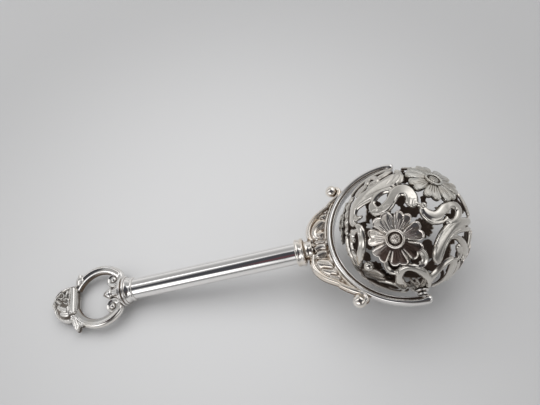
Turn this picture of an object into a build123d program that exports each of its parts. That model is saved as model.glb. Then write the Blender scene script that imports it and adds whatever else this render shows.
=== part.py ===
"""Silver baby rattle: a pierced ball that spins in a fork on a tubular handle, with a ring and crown finial.

Everything is drawn in the handle frame: origin at the ball's centre, X along the handle with the ball
at the +X (front) end, Y along the ball's pivots, Z square to the fork.  Each piece is then laid down
as the rattle rests on a table: the ball and the crown's two rear corners touch the plane Z = 0.
Left is +Y, right is -Y, and side is +1 for left, -1 for right.  All sizes in millimetres.
"""

from build123d import *
import os
from math import sin, cos, radians

os.makedirs("parts", exist_ok=True)

# ---- sizes shared by several pieces ----
fit_gap = 0.02           # clearance between seated pieces

ball_r = 21.0            # outside of the pierced shell
shell_wall = 1.0
seat_r = ball_r + fit_gap  # pieces applied to the ball sit on this sphere
cup_hub_r = 1.6

pin_r = 0.8

band_r_in = 22.9         # fork band
band_r_out = 25.2

bracket_rear = -31.0
tang_r = 2.0

tube_r = 3.7
tube_wall = 0.45
tube_front = -36.0
tube_rear = -95.6
plug_r = tube_r - tube_wall - fit_gap  # ferrule plugs inside the tube

flange_x = -100.2        # rear face of the rear ferrule
bud_socket_depth = 2.0
bud_socket_r = 0.9

# ---- resting position ----
tilt = 8.785              # the handle slopes down to the crown
ball_from_origin = 52.15  # ball centre along X from the middle of the footprint
lay = Location((ball_from_origin, 0, ball_r), (0, -tilt, 0))


def finish(part, name):
    """Lay a piece down, label it and write it."""
    part = part.moved(lay)
    part.label = name
    export_step(part, f"parts/{name}.step")


def mirrored(part):
    """The same piece on the other side of the plane Y = 0."""
    with BuildPart() as twin:
        mirror(part, about=Plane.XZ)
    return twin.part


def on_ball(phi, lat, side, radius):
    """Plane touching a ball of that radius, its normal pointing out, its Y axis towards the pivot.

    phi is in degrees about the pivots from +X towards +Z, lat in degrees from the seam to the pivot.
    """
    phi, lat = radians(phi), radians(lat)
    normal = Vector(cos(lat) * cos(phi), side * sin(lat), cos(lat) * sin(phi))
    around = Vector(-sin(phi), 0, cos(phi)) * -side
    return Plane(origin=normal * radius, x_dir=around, z_dir=normal)


# ---- pierced ball: two halves that meet on the plane Y = 0, three rosettes on each ----
rosettes_per_half = 3
rosette_step = 360 / rosettes_per_half
rosette_r = 7.9
petal_count = 8
rosette_rise = 0.75      # petals above their seat
button_r = 2.6
button_rise = 1.25
button_root = 0.5        # the button starts this far below the seat
button_taper = 14

rim_window_r = rosette_r + 0.55
rim_window_width = 2.6

# name, side, phi of the first rosette, rosette latitude,
# (start, span) of the curved windows in degrees round the rosette
ball_halves = [
    ("right", -1, 105.0, 28.0,
     [(25, 50), (105, 50), (190, 32), (225, 28), (287, 28), (318, 32)]),
    ("left", 1, 57.0, 20.0,
     [(-8, 30), (35, 50), (95, 50), (158, 30)]),
]


def ball_half(side, first_phi, rosette_lat, rim_arcs):
    # oval windows: phi from the rosette, latitude, half-width around, half-width towards the pivot
    oval_windows = [
        (0, rosette_lat + 39, 3.0, 2.0),   # between the rosette and the pole
        (60, rosette_lat + 16, 3.1, 5.0),  # between two rosettes
        (47, 13, 2.1, 3.2),                # a pair nearer the seam
        (73, 13, 2.1, 3.2),
    ]
    with BuildPart() as half:
        with BuildSketch(Plane.XY):
            with BuildLine():
                outer = CenterArc((0, 0), ball_r, 0, side * 90)
                inner = CenterArc((0, 0), ball_r - shell_wall, 0, side * 90)
                Line(outer @ 0, inner @ 0)
                Line(outer @ 1, inner @ 1)
            make_face()
        revolve(axis=Axis.Y)
        # hole for the pole cup's hub
        with BuildSketch(Plane.XZ.offset(-side * ball_r * 1.1)):
            Circle(cup_hub_r)
        extrude(amount=side * ball_r * 0.3, mode=Mode.SUBTRACT)
        for k in range(rosettes_per_half):
            phi = first_phi + rosette_step * k
            # curved windows that follow the rosette's rim
            with BuildSketch(on_ball(phi, rosette_lat, side, ball_r * 0.6)):
                for start, span in rim_arcs:
                    SlotArc(CenterArc((0, 0), rim_window_r, start, span), rim_window_width)
            extrude(amount=ball_r * 0.6, mode=Mode.SUBTRACT)
            for phi_offset, lat, half_around, half_along in oval_windows:
                with BuildSketch(on_ball(phi + phi_offset, lat, side, ball_r * 0.7)):
                    Ellipse(half_around, half_along)
                extrude(amount=ball_r * 0.5, mode=Mode.SUBTRACT)
    return half.part


def rosettes(side, first_phi, rosette_lat):
    phis = [first_phi + rosette_step * k for k in range(rosettes_per_half)]
    with BuildPart() as flowers:
        for phi in phis:
            with BuildSketch(on_ball(phi, rosette_lat, side, ball_r * 0.8)):
                Circle(rosette_r * 0.45)
                with PolarLocations(rosette_r * 0.62, petal_count, start_angle=180 / petal_count):
                    Ellipse(rosette_r * 0.38, rosette_r * 0.24)
            extrude(amount=ball_r * 0.35)
        # round the petals off to a sphere
        with BuildSketch(Plane.XY):
            with BuildLine():
                cap = CenterArc((0, 0), seat_r + rosette_rise, -90, 180)
                Line(cap @ 1, cap @ 0)
            make_face()
        revolve(axis=Axis.Y, mode=Mode.INTERSECT)
        for phi in phis:
            with BuildSketch(on_ball(phi, rosette_lat, side, seat_r - button_root)):
                Circle(button_r)
            extrude(amount=button_root + button_rise, taper=button_taper)
        # hollow the underside to sit on the ball
        with BuildSketch(Plane.XY):
            with BuildLine():
                core = CenterArc((0, 0), seat_r, -90, 180)
                Line(core @ 1, core @ 0)
            make_face()
        revolve(axis=Axis.Y, mode=Mode.SUBTRACT)
    return flowers.part


for name, side, first_phi, rosette_lat, rim_arcs in ball_halves:
    finish(ball_half(side, first_phi, rosette_lat, rim_arcs), f"ball_half_{name}")
    finish(rosettes(side, first_phi, rosette_lat), f"rosettes_{name}")

# ---- pivots: cup in the ball's pole, spacer bead, pin fixed in the fork ----
bore_r = pin_r + 0.05    # running clearance of the ball on its pins
cup_inner_y = 18.6
cup_rim_r = 2.3
cup_rim_y = ball_r + 0.25
cup_face_r = 1.5
cup_face_y = ball_r + 0.6

bead_y = ball_r + 1.22
bead_section_x = 1.05    # centre of the bead's oval section, from the pivot axis

pin_tip_y = 18.3
pin_end_y = band_r_out - 0.15
pin_tip_fillet = 0.4


def pole_cup(side):
    with BuildPart() as cup:
        with BuildSketch(Plane.XY):
            with BuildLine():
                Polyline(
                    (bore_r, side * cup_inner_y),
                    (cup_hub_r, side * cup_inner_y),
                    (cup_hub_r, side * seat_r),
                    (cup_rim_r, side * seat_r),
                    (cup_rim_r, side * cup_rim_y),
                    (cup_face_r, side * cup_face_y),
                    (bore_r, side * cup_face_y),
                    close=True,
                )
            make_face()
        revolve(axis=Axis.Y)
    return cup.part


def pivot_spacer(side):
    with BuildPart() as spacer:
        with BuildSketch(Plane.XY):
            with Locations((bead_section_x, side * bead_y)):
                Ellipse(0.55, 0.5)
            with Locations((pin_r / 2, side * bead_y)):
                Rectangle(pin_r, 2.2, mode=Mode.SUBTRACT)
        revolve(axis=Axis.Y)
    return spacer.part


def pivot_pin(side):
    with BuildPart() as pin:
        with BuildSketch(Plane.XZ.offset(-side * pin_tip_y)):
            Circle(pin_r)
        extrude(amount=-side * (pin_end_y - pin_tip_y))
        tip = pin.faces().sort_by(Axis.Y)[0 if side > 0 else -1]
        fillet(tip.edges(), pin_tip_fillet)
    return pin.part


for side, name in ((-1, "right"), (1, "left")):
    finish(pole_cup(side), f"pole_cup_{name}")
    finish(pivot_spacer(side), f"pivot_spacer_{name}")
    finish(pivot_pin(side), f"pivot_pin_{name}")

# ---- fork band ----
band_h = 3.6
band_corner_r = 0.8
band_reach = 94.5        # half-angle of the band, measured from the handle


def fork_band():
    with BuildPart() as band:
        with BuildSketch(Plane.XZ):
            with Locations((-(band_r_in + band_r_out) / 2, 0)):
                RectangleRounded(band_r_out - band_r_in, band_h, band_corner_r)
        revolve(axis=Axis.Z, revolution_arc=band_reach)
        mirror(about=Plane.XZ)
        # holes for the pins
        with BuildSketch(Plane.XZ):
            Circle(pin_r)
        extrude(amount=band_r_out + 1, both=True, mode=Mode.SUBTRACT)
    return band.part


band = fork_band()
finish(band, "fork_band")

# ---- acanthus yoke bracket with its tang ----
# x, y of the left edge, from the handle out to the band
bracket_edge = [
    (bracket_rear, 5.2), (-30.9, 7.3), (-28.8, 10.2), (-26.4, 12.6),
    (-23.4, 14.9), (-20.9, 17.2), (-17.9, 18.35),
]
bracket_layers = [(0.0, 1.7), (0.7, 2.3)]  # inset of the edge, half-height
bracket_front = (-16.0, 17.4)              # front left corner, cut away by the band's seat
tang_length = 9.5


def yoke_bracket():
    front_x, front_y = bracket_front
    with BuildPart() as bracket:
        for inset, half_height in bracket_layers:
            with BuildSketch(Plane.XY):
                with BuildLine():
                    left_edge = Spline(*[(x + inset, y - inset * 0.8) for x, y in bracket_edge])
                    right_edge = Spline(*[(x + inset, -y + inset * 0.8) for x, y in bracket_edge])
                    Line(left_edge @ 0, right_edge @ 0)
                    Polyline(left_edge @ 1, (front_x, front_y), (front_x, -front_y), right_edge @ 1)
                make_face()
            extrude(amount=half_height, both=True)
        # seat round the outside of the band
        with BuildSketch(Plane.XY.offset(-3)):
            Circle(band_r_out + fit_gap)
        extrude(amount=6, mode=Mode.SUBTRACT)
        with BuildSketch(Plane.YZ.offset(bracket_rear)):
            Circle(tang_r)
        extrude(amount=-tang_length)
    return bracket.part


bracket = yoke_bracket()
finish(bracket, "yoke_bracket")

# ---- scroll knobs at the bracket's corners, each on a short neck ----
knob_x, knob_y = -19.8, 20.2
knob_r = 1.85
neck_r = knob_r * 0.62
neck_reach = 3.0         # from the knob's centre to the neck's foot


def left_yoke_scroll():
    # the plane's Y axis runs from the neck out through the knob
    knob_plane = Plane(origin=(knob_x, knob_y, 0), x_dir=(0.6, 0.8, 0), z_dir=(0, 0, 1))
    with BuildPart() as knob:
        with BuildSketch(knob_plane):
            with BuildLine():
                ball_arc = CenterArc((0, 0), knob_r, -50, 140)
                Polyline(ball_arc @ 0, (neck_r, -neck_reach), (0, -neck_reach), (0, knob_r))
            make_face()
        revolve(axis=Axis((knob_x, knob_y, 0), knob_plane.y_dir))
        add(bracket, mode=Mode.SUBTRACT)
        add(band, mode=Mode.SUBTRACT)
    # the cuts can leave slivers, so keep the largest solid
    return knob.solids().sort_by(SortBy.VOLUME)[-1]


left_knob = left_yoke_scroll()
finish(left_knob, "yoke_scroll_left")
finish(mirrored(left_knob), "yoke_scroll_right")

# ---- front ferrule: mouldings between tube and bracket ----
front_plug_end = -41.0


def front_ferrule():
    bore = tang_r + fit_gap
    front = bracket_rear - fit_gap
    shoulder = tube_front + fit_gap
    with BuildPart() as ferrule:
        with BuildSketch(Plane.XY):
            with BuildLine():
                Polyline(
                    (front, bore),
                    (front_plug_end, bore),
                    (front_plug_end, plug_r),
                    (shoulder, plug_r),
                    (shoulder, 4.3),
                )
                rear_bead = ThreePointArc((shoulder, 4.3), (-35.4, 4.75), (-34.9, 4.4))
                middle_bead = ThreePointArc(rear_bead @ 1, (-33.9, 5.3), (-32.9, 4.5))
                front_bead = ThreePointArc(middle_bead @ 1, (-32.4, 4.85), (-31.9, 4.5))
                Polyline(front_bead @ 1, (front, 4.5), (front, bore))
            make_face()
        revolve(axis=Axis.X)
    return ferrule.part


finish(front_ferrule(), "front_ferrule")


# ---- handle tube ----
def handle_tube():
    with BuildPart() as tube:
        with BuildSketch(Plane.YZ.offset(tube_rear)):
            Circle(tube_r)
            Circle(tube_r - tube_wall, mode=Mode.SUBTRACT)
        extrude(amount=tube_front - tube_rear)
    return tube.part


finish(handle_tube(), "handle_tube")

# ---- rear ferrule: mouldings and flange, with a socket for the bud ----
rear_plug_end = -90.5
flange_front = -98.6
flange_edge_r = 5.2
flange_crest = (-99.4, 5.85)


def rear_ferrule():
    shoulder = tube_rear - fit_gap
    socket_end = flange_x + bud_socket_depth
    with BuildPart() as ferrule:
        with BuildSketch(Plane.XY):
            with BuildLine():
                Polyline(
                    (socket_end, 0),
                    (rear_plug_end, 0),
                    (rear_plug_end, plug_r),
                    (shoulder, plug_r),
                    (shoulder, 4.1),
                )
                front_bead = ThreePointArc((shoulder, 4.1), (-96.4, 4.7), (-97.15, 4.2))
                rear_bead = ThreePointArc(front_bead @ 1, (-97.9, 4.8), (flange_front, 4.4))
                Line(rear_bead @ 1, (flange_front, flange_edge_r))
                ThreePointArc((flange_front, flange_edge_r), flange_crest, (flange_x, flange_edge_r))
                Polyline(
                    (flange_x, flange_edge_r),
                    (flange_x, bud_socket_r),
                    (socket_end, bud_socket_r),
                    (socket_end, 0),
                )
            make_face()
        revolve(axis=Axis.X)
    return ferrule.part


finish(rear_ferrule(), "rear_ferrule")

# ---- bud between the volutes, its stem in the rear ferrule ----
stem_front = -98.5
stem_r = bud_socket_r - fit_gap
finial_front = flange_x - fit_gap  # bud and ring seat against the flange here
# x, radius of the bud, front to rear
bud_outline = [
    (finial_front, 2.6), (-102.0, 1.7), (-104.0, 0.95),
    (-105.3, 0.85), (-106.4, 1.2), (-107.3, 0),
]


def finial_bud():
    with BuildPart() as bud:
        with BuildSketch(Plane.XY):
            with BuildLine():
                Polyline(
                    bud_outline[-1],
                    (stem_front, 0),
                    (stem_front, stem_r),
                    (finial_front, stem_r),
                    bud_outline[0],
                )
                Spline(*bud_outline, tangents=((-1, -0.8), (0, -1)))
            make_face()
        revolve(axis=Axis.X)
    return bud.part


finish(finial_bud(), "finial_bud")

# ---- finial ring: two C-scrolls, each a wire that curls into a volute ----
ring_x = -108.8
ring_r = 9.95
wire_r = 1.35
volute_r = 1.95
curl_r = 2.55
curl_sweep = 170
arc_start, arc_end = 157, 44  # degrees about the ring's centre, from +X towards +Y
bud_clearance_r = 2.64


def wire_plane(centre, radius, angle):
    """Plane square to a wire that bends round that centre, at that angle."""
    out = Vector(cos(radians(angle)), sin(radians(angle)), 0)
    return Plane(origin=Vector(*centre, 0) + out * radius, x_dir=out, z_dir=Vector(out.Y, -out.X, 0))


def left_ring_scroll():
    # the curl touches the ring's arc from inside, so the wire runs on smoothly
    curl_offset = ring_r - curl_r
    curl_centre = (
        ring_x + curl_offset * cos(radians(arc_end)),
        curl_offset * sin(radians(arc_end)),
    )
    with BuildPart() as scroll:
        with BuildSketch(wire_plane((ring_x, 0), ring_r, arc_start)):
            Circle(wire_r)
        revolve(axis=Axis((ring_x, 0, 0), (0, 0, -1)), revolution_arc=arc_start - arc_end)
        with BuildSketch(wire_plane(curl_centre, curl_r, arc_end)):
            Circle(wire_r)
        revolve(axis=Axis((*curl_centre, 0), (0, 0, -1)), revolution_arc=curl_sweep)
        with Locations((*curl_centre, 0)):
            Sphere(volute_r)
        # seats against the flange and round the bud
        with BuildSketch(Plane.YZ.offset(finial_front)):
            Circle(15)
        extrude(amount=6, mode=Mode.SUBTRACT)
        with BuildSketch(Plane.YZ.offset(-109)):
            Circle(bud_clearance_r)
        extrude(amount=12, mode=Mode.SUBTRACT)
    return scroll.part


scroll_left = left_ring_scroll()
scroll_right = mirrored(scroll_left)
finish(scroll_left, "ring_scroll_left")
finish(scroll_right, "ring_scroll_right")

# ---- crown finial ----
crown_h = 3.2
# x, y of the left edge, front to rear
crown_outline = [(-118.3, 5.0), (-120.6, 6.5), (-123.6, 6.0), (-125.9, 4.4), (-127.1, 2.4)]
circlet_x = -119.1
circlet_rise = 0.35      # circlet above the crown's faces
# x, y round the left leaf lug
lug_outline = [(-119.3, 5.0), (-119.2, 8.2), (-117.7, 10.9), (-116.4, 8.4), (-118.0, 5.0)]
lug_half_height = 1.25


def crown_finial():
    with BuildPart() as crown:
        with BuildSketch(Plane.XY):
            with BuildLine():
                left_edge = Spline(*crown_outline)
                right_edge = Spline(*[(x, -y) for x, y in crown_outline])
                Line(left_edge @ 0, right_edge @ 0)
                Line(left_edge @ 1, right_edge @ 1)
            make_face()
        extrude(amount=crown_h / 2, both=True)
        # circlet at the crown's foot
        with BuildSketch(Plane.XY):
            with Locations((circlet_x, 0)):
                RectangleRounded(1.9, 10.4, 0.5)
        extrude(amount=crown_h / 2 + circlet_rise, both=True)
        # leaf lugs on either side
        for side in (1, -1):
            with BuildSketch(Plane.XY):
                with BuildLine():
                    Spline(*[(x, side * y) for x, y in lug_outline], periodic=True)
                make_face()
            extrude(amount=lug_half_height, both=True)
        # seats for the two wires of the ring
        add(scroll_left, mode=Mode.SUBTRACT)
        add(scroll_right, mode=Mode.SUBTRACT)
    return crown.solids().sort_by(SortBy.VOLUME)[-1]


finish(crown_finial(), "crown_finial")

# ---- loose crotal bell inside the ball, hanging to the lowest point ----
bell_r = 5.5
bell_wall = 0.5
bell_clearance = 0.2     # bell above the inside of the ball
seam_rim_width = 0.9
seam_rim_h = 0.4
seam_gap = 0.01          # from the bell's mid-plane to each rim
pea_r = 1.5
pea_clearance = 0.1

down = Vector(-sin(radians(tilt)), 0, -cos(radians(tilt)))
bell_at = down * (ball_r - shell_wall - bell_r - bell_clearance)
bell_plane = Plane(origin=bell_at, x_dir=(0, 1, 0), z_dir=down)
# upright plane through the bell's centre, its Y axis pointing down
bell_section = Plane(origin=bell_at, x_dir=(0, 1, 0), z_dir=bell_plane.x_dir.cross(down))


def bell_shell(sign):
    """Half of the bell: sign +1 is the lower one, with the sound slot, -1 the upper."""
    with BuildPart() as shell:
        with BuildSketch(bell_section):
            with BuildLine():
                outer = CenterArc((0, 0), bell_r, 0, sign * 90)
                inner = CenterArc((0, 0), bell_r - bell_wall, 0, sign * 90)
                Line(outer @ 0, inner @ 0)
                Line(outer @ 1, inner @ 1)
            make_face()
            # rim along the seam
            with Locations((bell_r + 0.1, sign * (seam_rim_h / 2 + seam_gap))):
                Rectangle(seam_rim_width, seam_rim_h)
        revolve(axis=Axis(bell_at, down))
        if sign > 0:
            # sound slot with round ends
            with BuildSketch(bell_plane.offset(1.5)):
                SlotCenterToCenter(6.6, 1.1)
                with Locations((3.3, 0), (-3.3, 0)):
                    Circle(0.85)
            extrude(amount=5, mode=Mode.SUBTRACT)
    return shell.part


def bell_pea():
    with BuildPart() as pea:
        with Locations(Location(bell_at + down * (bell_r - bell_wall - pea_r - pea_clearance))):
            Sphere(pea_r)
    return pea.part


finish(bell_shell(1), "bell_lower")
finish(bell_shell(-1), "bell_upper")
finish(bell_pea(), "bell_pea")
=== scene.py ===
"""Silver baby rattle lying on a pale table: pierced ball in a fork, tubular handle, ring and crown.

Shapes are worked out in the handle frame, in millimetres: origin at the ball's centre, X along the
handle towards the ball, Y along the ball's pivots, Z square to the fork.  Each mesh is then tilted
into the row frame, in metres, with the table at Z = 0.  "right" is the -Y side, "left" the +Y side.
"""
import math

import bpy
import numpy as np
from mathutils import Matrix, Vector


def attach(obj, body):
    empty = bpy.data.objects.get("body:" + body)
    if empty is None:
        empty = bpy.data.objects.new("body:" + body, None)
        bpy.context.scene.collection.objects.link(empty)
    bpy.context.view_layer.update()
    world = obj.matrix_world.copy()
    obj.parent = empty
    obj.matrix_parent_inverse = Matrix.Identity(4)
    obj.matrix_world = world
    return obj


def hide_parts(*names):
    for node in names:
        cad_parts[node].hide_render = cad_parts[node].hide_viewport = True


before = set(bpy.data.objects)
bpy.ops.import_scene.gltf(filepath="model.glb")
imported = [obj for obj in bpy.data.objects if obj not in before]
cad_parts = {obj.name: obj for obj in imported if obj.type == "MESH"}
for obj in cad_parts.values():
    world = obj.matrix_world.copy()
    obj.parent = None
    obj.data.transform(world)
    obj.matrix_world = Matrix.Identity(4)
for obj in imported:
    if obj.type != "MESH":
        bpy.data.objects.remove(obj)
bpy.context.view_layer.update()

BALL_R = 21.0
SHEET_R = BALL_R - 1.0                   # surface the openwork is raised from
BALL_CENTRE = (52.15, 0.0, BALL_R)       # in the row frame, mm: the ball rests on the table
TILT = math.radians(8.785)               # the handle slopes down to the table
COS, SIN = math.cos(TILT), math.sin(TILT)
SIDES = (("right", -1), ("left", 1))


def tilt(vectors):
    """Turns handle frame vectors into the row frame."""
    x, y, z = np.reshape(vectors, (-1, 3)).T
    return np.stack([x * COS - z * SIN, y, x * SIN + z * COS], 1)


def to_row(points):
    return (tilt(points) + BALL_CENTRE) / 1000.0


# ------------------------------------------------------------------ materials
class Shader:
    """Adds nodes to a tree.  An input may be given a value or another node's output."""

    def __init__(self, tree):
        self.tree = tree

    def node(self, kind, inputs=None, **settings):
        made = self.tree.nodes.new(kind)
        for name, value in settings.items():
            setattr(made, name, value)
        for key, value in (inputs or {}).items():
            if isinstance(value, bpy.types.NodeSocket):
                self.tree.links.new(value, made.inputs[key])
            else:
                made.inputs[key].default_value = value
        return made

    def calc(self, operation, *values, clamp=False):
        inputs = dict(enumerate(values))
        return self.node("ShaderNodeMath", inputs, operation=operation,
                         use_clamp=clamp).outputs[0]

    def noise(self, vector, scale, detail, roughness):
        return self.node("ShaderNodeTexNoise", {
            "Vector": vector, "Scale": scale, "Detail": detail, "Roughness": roughness,
        }).outputs["Fac"]

    def mix(self, factor, first, second, **settings):
        return self.node("ShaderNodeMix", {"Factor": factor, "A": first, "B": second},
                         data_type="RGBA", **settings).outputs["Result"]

    def ramp(self, factor, stops, interpolation="LINEAR"):
        """Stops are (position, grey or RGB)."""
        made = self.node("ShaderNodeValToRGB", {0: factor})
        made.color_ramp.interpolation = interpolation
        elements = made.color_ramp.elements
        while len(elements) > 1:
            elements.remove(elements[-1])
        for i, (position, colour) in enumerate(stops):
            element = elements[0] if i == 0 else elements.new(position)
            element.position = position
            rgb = colour if isinstance(colour, tuple) else (colour,) * 3
            element.color = (*rgb, 1)
        return made.outputs["Color"]


def silver(name, base, rough, tarnish_and_shade, mottled, scratch, amount=1.0, relief=True, ao=0.0,
           warm=0.0, dark_inside=False):
    """Worn silver: colour drift, brown hollows (oxide and painted shade) and fine scratches.

    mottled: strength of the patchy film; scratch: depth in mm; amount: brown in the hollows;
    relief: read the carved brightness, painted shade and highlights; ao: reach in mm of the brown
    in closed-in places, oxide and painted shade; warm: yellow drift; dark_inside: painted shade,
    dark brown below the ball's raised surface.
    """
    material = bpy.data.materials.new("silver_" + name)
    material.use_nodes = True
    material.node_tree.nodes.clear()
    shader = Shader(material.node_tree)
    node, calc, ramp = shader.node, shader.calc, shader.ramp
    place = node("ShaderNodeTexCoord").outputs["Object"]
    point = node("ShaderNodeMapping", {"Vector": place, "Scale": (1000,) * 3}).outputs[0]  # mm
    big = shader.noise(point, scale=0.23, detail=3.0, roughness=0.55)
    medium = shader.noise(point, scale=1.1, detail=5.0, roughness=0.62)
    fine = shader.noise(point, scale=6.5, detail=3.0, roughness=0.6)

    hollow = None
    if relief:
        carved = node("ShaderNodeAttribute", attribute_name="relief").outputs["Fac"]
        hollow = ramp(carved, [(0.0, 1.0), (0.22, 0.72), (0.5, 0.12), (0.8, 0.0)])
    # ambient occlusion paints brown into closed-in places: oxide and painted shade
    if ao:
        open_sky = node("ShaderNodeAmbientOcclusion", {"Distance": ao / 1000.0}, samples=6)
        closed = ramp(open_sky.outputs["AO"], [(0.25, 1.0), (0.62, 0.25), (0.92, 0.0)])
        hollow = calc("MAXIMUM", hollow, calc("MULTIPLY", closed, 0.9)) if relief else closed
    patches = calc("MULTIPLY", ramp(medium, [(0.35, 0.0), (0.72, 1.0)]), mottled)
    clouds = calc("MULTIPLY", ramp(big, [(0.4, 0.0), (0.7, 1.0)]), mottled)
    film = calc("MULTIPLY", calc("ADD", patches, clouds), 0.45)
    oxide_and_shade = film
    # the hollows take the brown colour: oxide and painted shade
    if hollow is not None:
        jitter = calc("ADD", 0.72, calc("MULTIPLY", fine, 0.6))
        deep_oxide_and_shade = calc("MULTIPLY", calc("MULTIPLY", hollow, jitter), amount)
        oxide_and_shade = calc("ADD", deep_oxide_and_shade, film, clamp=True)

    colour = shader.mix(oxide_and_shade, (*base, 1), (*tarnish_and_shade, 1))
    if warm:
        drift = calc("MULTIPLY", ramp(big, [(0.42, 0.0), (0.66, 1.0)]), warm)
        colour = shader.mix(drift, colour, (1.0, 0.86, 0.66, 1), blend_type="MULTIPLY")
    if dark_inside:
        from_centre = node("ShaderNodeVectorMath", {0: point, 1: BALL_CENTRE},
                           operation="SUBTRACT")
        radius = node("ShaderNodeVectorMath", {0: from_centre.outputs[0]}, operation="LENGTH")
        uneven = calc("ADD", radius.outputs["Value"], calc("MULTIPLY", fine, 0.2))
        deep = node("ShaderNodeMapRange", {
            "Value": uneven, "From Min": SHEET_R + 0.42, "From Max": SHEET_R + 0.02,
        }, clamp=True).outputs[0]
        # painted shade: dark brown on the walls of the openings and the ball's inner face
        colour = shader.mix(deep, colour, (0.135, 0.100, 0.080, 1))

    # filmed and hollow places are duller
    wander = calc("MULTIPLY", calc("SUBTRACT", medium, 0.5), rough * 0.5)
    roughness = calc("ADD", rough, wander)
    roughness = calc("ADD", roughness, calc("MULTIPLY", oxide_and_shade, 0.25), clamp=True)
    if dark_inside:
        roughness = calc("ADD", roughness, calc("MULTIPLY", deep, 0.25), clamp=True)

    # drawn-out noise makes scratches, round noise the unevenness of hand polishing
    drawn_out = node("ShaderNodeMapping", {
        "Vector": point, "Scale": (1.0, 9.0, 9.0), "Rotation": (0.3, 0.2, 0.5),
    }).outputs[0]
    scratches = shader.noise(drawn_out, scale=2.4, detail=3.0, roughness=0.65)
    wear = calc("ADD", calc("MULTIPLY", scratches, 0.5), calc("MULTIPLY", medium, 0.9))
    bump = node("ShaderNodeBump",
                {"Strength": 0.35, "Distance": scratch / 1000.0, "Height": wear})
    surface = node("ShaderNodeBsdfPrincipled", {
        "Metallic": 1.0, "Base Color": colour, "Roughness": roughness,
        "Normal": bump.outputs[0],
    })
    node("ShaderNodeOutputMaterial", {"Surface": surface.outputs[0]})
    return material


SILVERS = {
    "tube": dict(base=(0.91, 0.895, 0.88), rough=0.06, tarnish_and_shade=(0.55, 0.47, 0.38),
                 mottled=0.10, scratch=0.004, relief=False),
    "polished_relief": dict(base=(0.91, 0.89, 0.865), rough=0.08, tarnish_and_shade=(0.16, 0.11, 0.075),
                            mottled=0.12, scratch=0.008, amount=0.95, ao=0.8),
    "toned": dict(base=(0.92, 0.88, 0.83), rough=0.10, tarnish_and_shade=(0.21, 0.125, 0.06),
                  mottled=0.12, scratch=0.008, ao=1.0, warm=0.35),
    "cast": dict(base=(0.95, 0.905, 0.85), rough=0.20, tarnish_and_shade=(0.15, 0.088, 0.045),
                 mottled=0.15, scratch=0.012, ao=1.5, warm=0.35),
    "crown": dict(base=(0.865, 0.845, 0.81), rough=0.085, tarnish_and_shade=(0.11, 0.085, 0.065),
                  mottled=0.15, scratch=0.010, ao=0.9),
    "ring": dict(base=(0.85, 0.835, 0.81), rough=0.085, tarnish_and_shade=(0.13, 0.09, 0.06),
                 mottled=0.14, scratch=0.008, ao=1.2, warm=0.15),
    "pierced": dict(base=(0.785, 0.750, 0.692), rough=0.115, tarnish_and_shade=(0.085, 0.06, 0.042),
                    mottled=0.20, scratch=0.014, ao=1.2, dark_inside=True),
    "flower": dict(base=(0.94, 0.885, 0.825), rough=0.14, tarnish_and_shade=(0.060, 0.042, 0.036),
                   mottled=0.18, scratch=0.010, ao=0.7, warm=0.15, dark_inside=True),
    # a darker copy of the flower silver: painted shade on the left half's flowers
    "flower_shaded": dict(base=(0.70, 0.685, 0.64), rough=0.20, tarnish_and_shade=(0.10, 0.07, 0.05),
                       mottled=0.25, scratch=0.012, ao=0.7, warm=0.2, dark_inside=True),
    # grey-blue base: a painted reflection tint on the fork band's inner wall
    "satin": dict(base=(0.88, 0.89, 0.91), rough=0.34, tarnish_and_shade=(0.2, 0.17, 0.14),
                  mottled=0.2, scratch=0.02, amount=0.5, ao=0.6),
    "dull": dict(base=(0.42, 0.38, 0.33), rough=0.38, tarnish_and_shade=(0.08, 0.06, 0.05),
                 mottled=0.5, scratch=0.02, amount=0.8, relief=False, ao=0.9),
}
MATERIALS = {name: silver(name, **settings) for name, settings in SILVERS.items()}


# ------------------------------------------------------------------ mesh helpers
class Part:
    """Shapes of one piece.  Relief is how bright the metal is painted: 0 in hollows, for oxide and
    painted shade; 1 on crests and rims, for worn metal and painted highlights.
    """

    def __init__(self):
        self.points, self.faces, self.relief, self.count = [], [], [], 0

    def add(self, points, faces, relief):
        """Relief is one value, one for each row of points, or one for each point."""
        points = np.reshape(points, (-1, 3))
        relief = np.ravel(relief)
        if isinstance(faces, np.ndarray):
            faces = faces.tolist()
        self.points.append(points)
        self.faces += [[i + self.count for i in face] for face in faces]
        self.relief.append(np.repeat(relief, len(points) // len(relief)))
        self.count += len(points)

    def make(self, name, material, piece, body="handle", slot="silver_polished",
             second=None, second_faces=()):
        points = to_row(np.concatenate(self.points))
        points[:, 2] = np.maximum(points[:, 2], 2e-5)          # flat where it rests on the table
        mesh = bpy.data.meshes.new(name)
        mesh.from_pydata(points.tolist(), [], self.faces)
        attribute = mesh.attributes.new("relief", "FLOAT", "POINT")
        relief = np.concatenate(self.relief).astype(np.float32)
        attribute.data.foreach_set("value", relief)
        mesh.validate()
        mesh.update()
        mesh.polygons.foreach_set("use_smooth", [True] * len(mesh.polygons))
        made = bpy.data.objects.new(name, mesh)
        bpy.context.scene.collection.objects.link(made)
        mesh.materials.append(MATERIALS[material])
        if second:
            mesh.materials.append(MATERIALS[second])
            indices = np.zeros(len(mesh.polygons), np.int32)
            indices[second_faces] = 1
            mesh.polygons.foreach_set("material_index", indices)
        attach(made, body)
        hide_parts(piece)


def unit(vectors):
    return vectors / np.linalg.norm(vectors, axis=-1, keepdims=True)


def gauss(value, centre, width):
    return np.exp(-(((value - centre) / width) ** 2))


def domed(inside, width, height):
    """Quarter-round rise over a width from an edge."""
    return height * np.sqrt(np.clip(inside / width, 0, 1))


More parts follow.
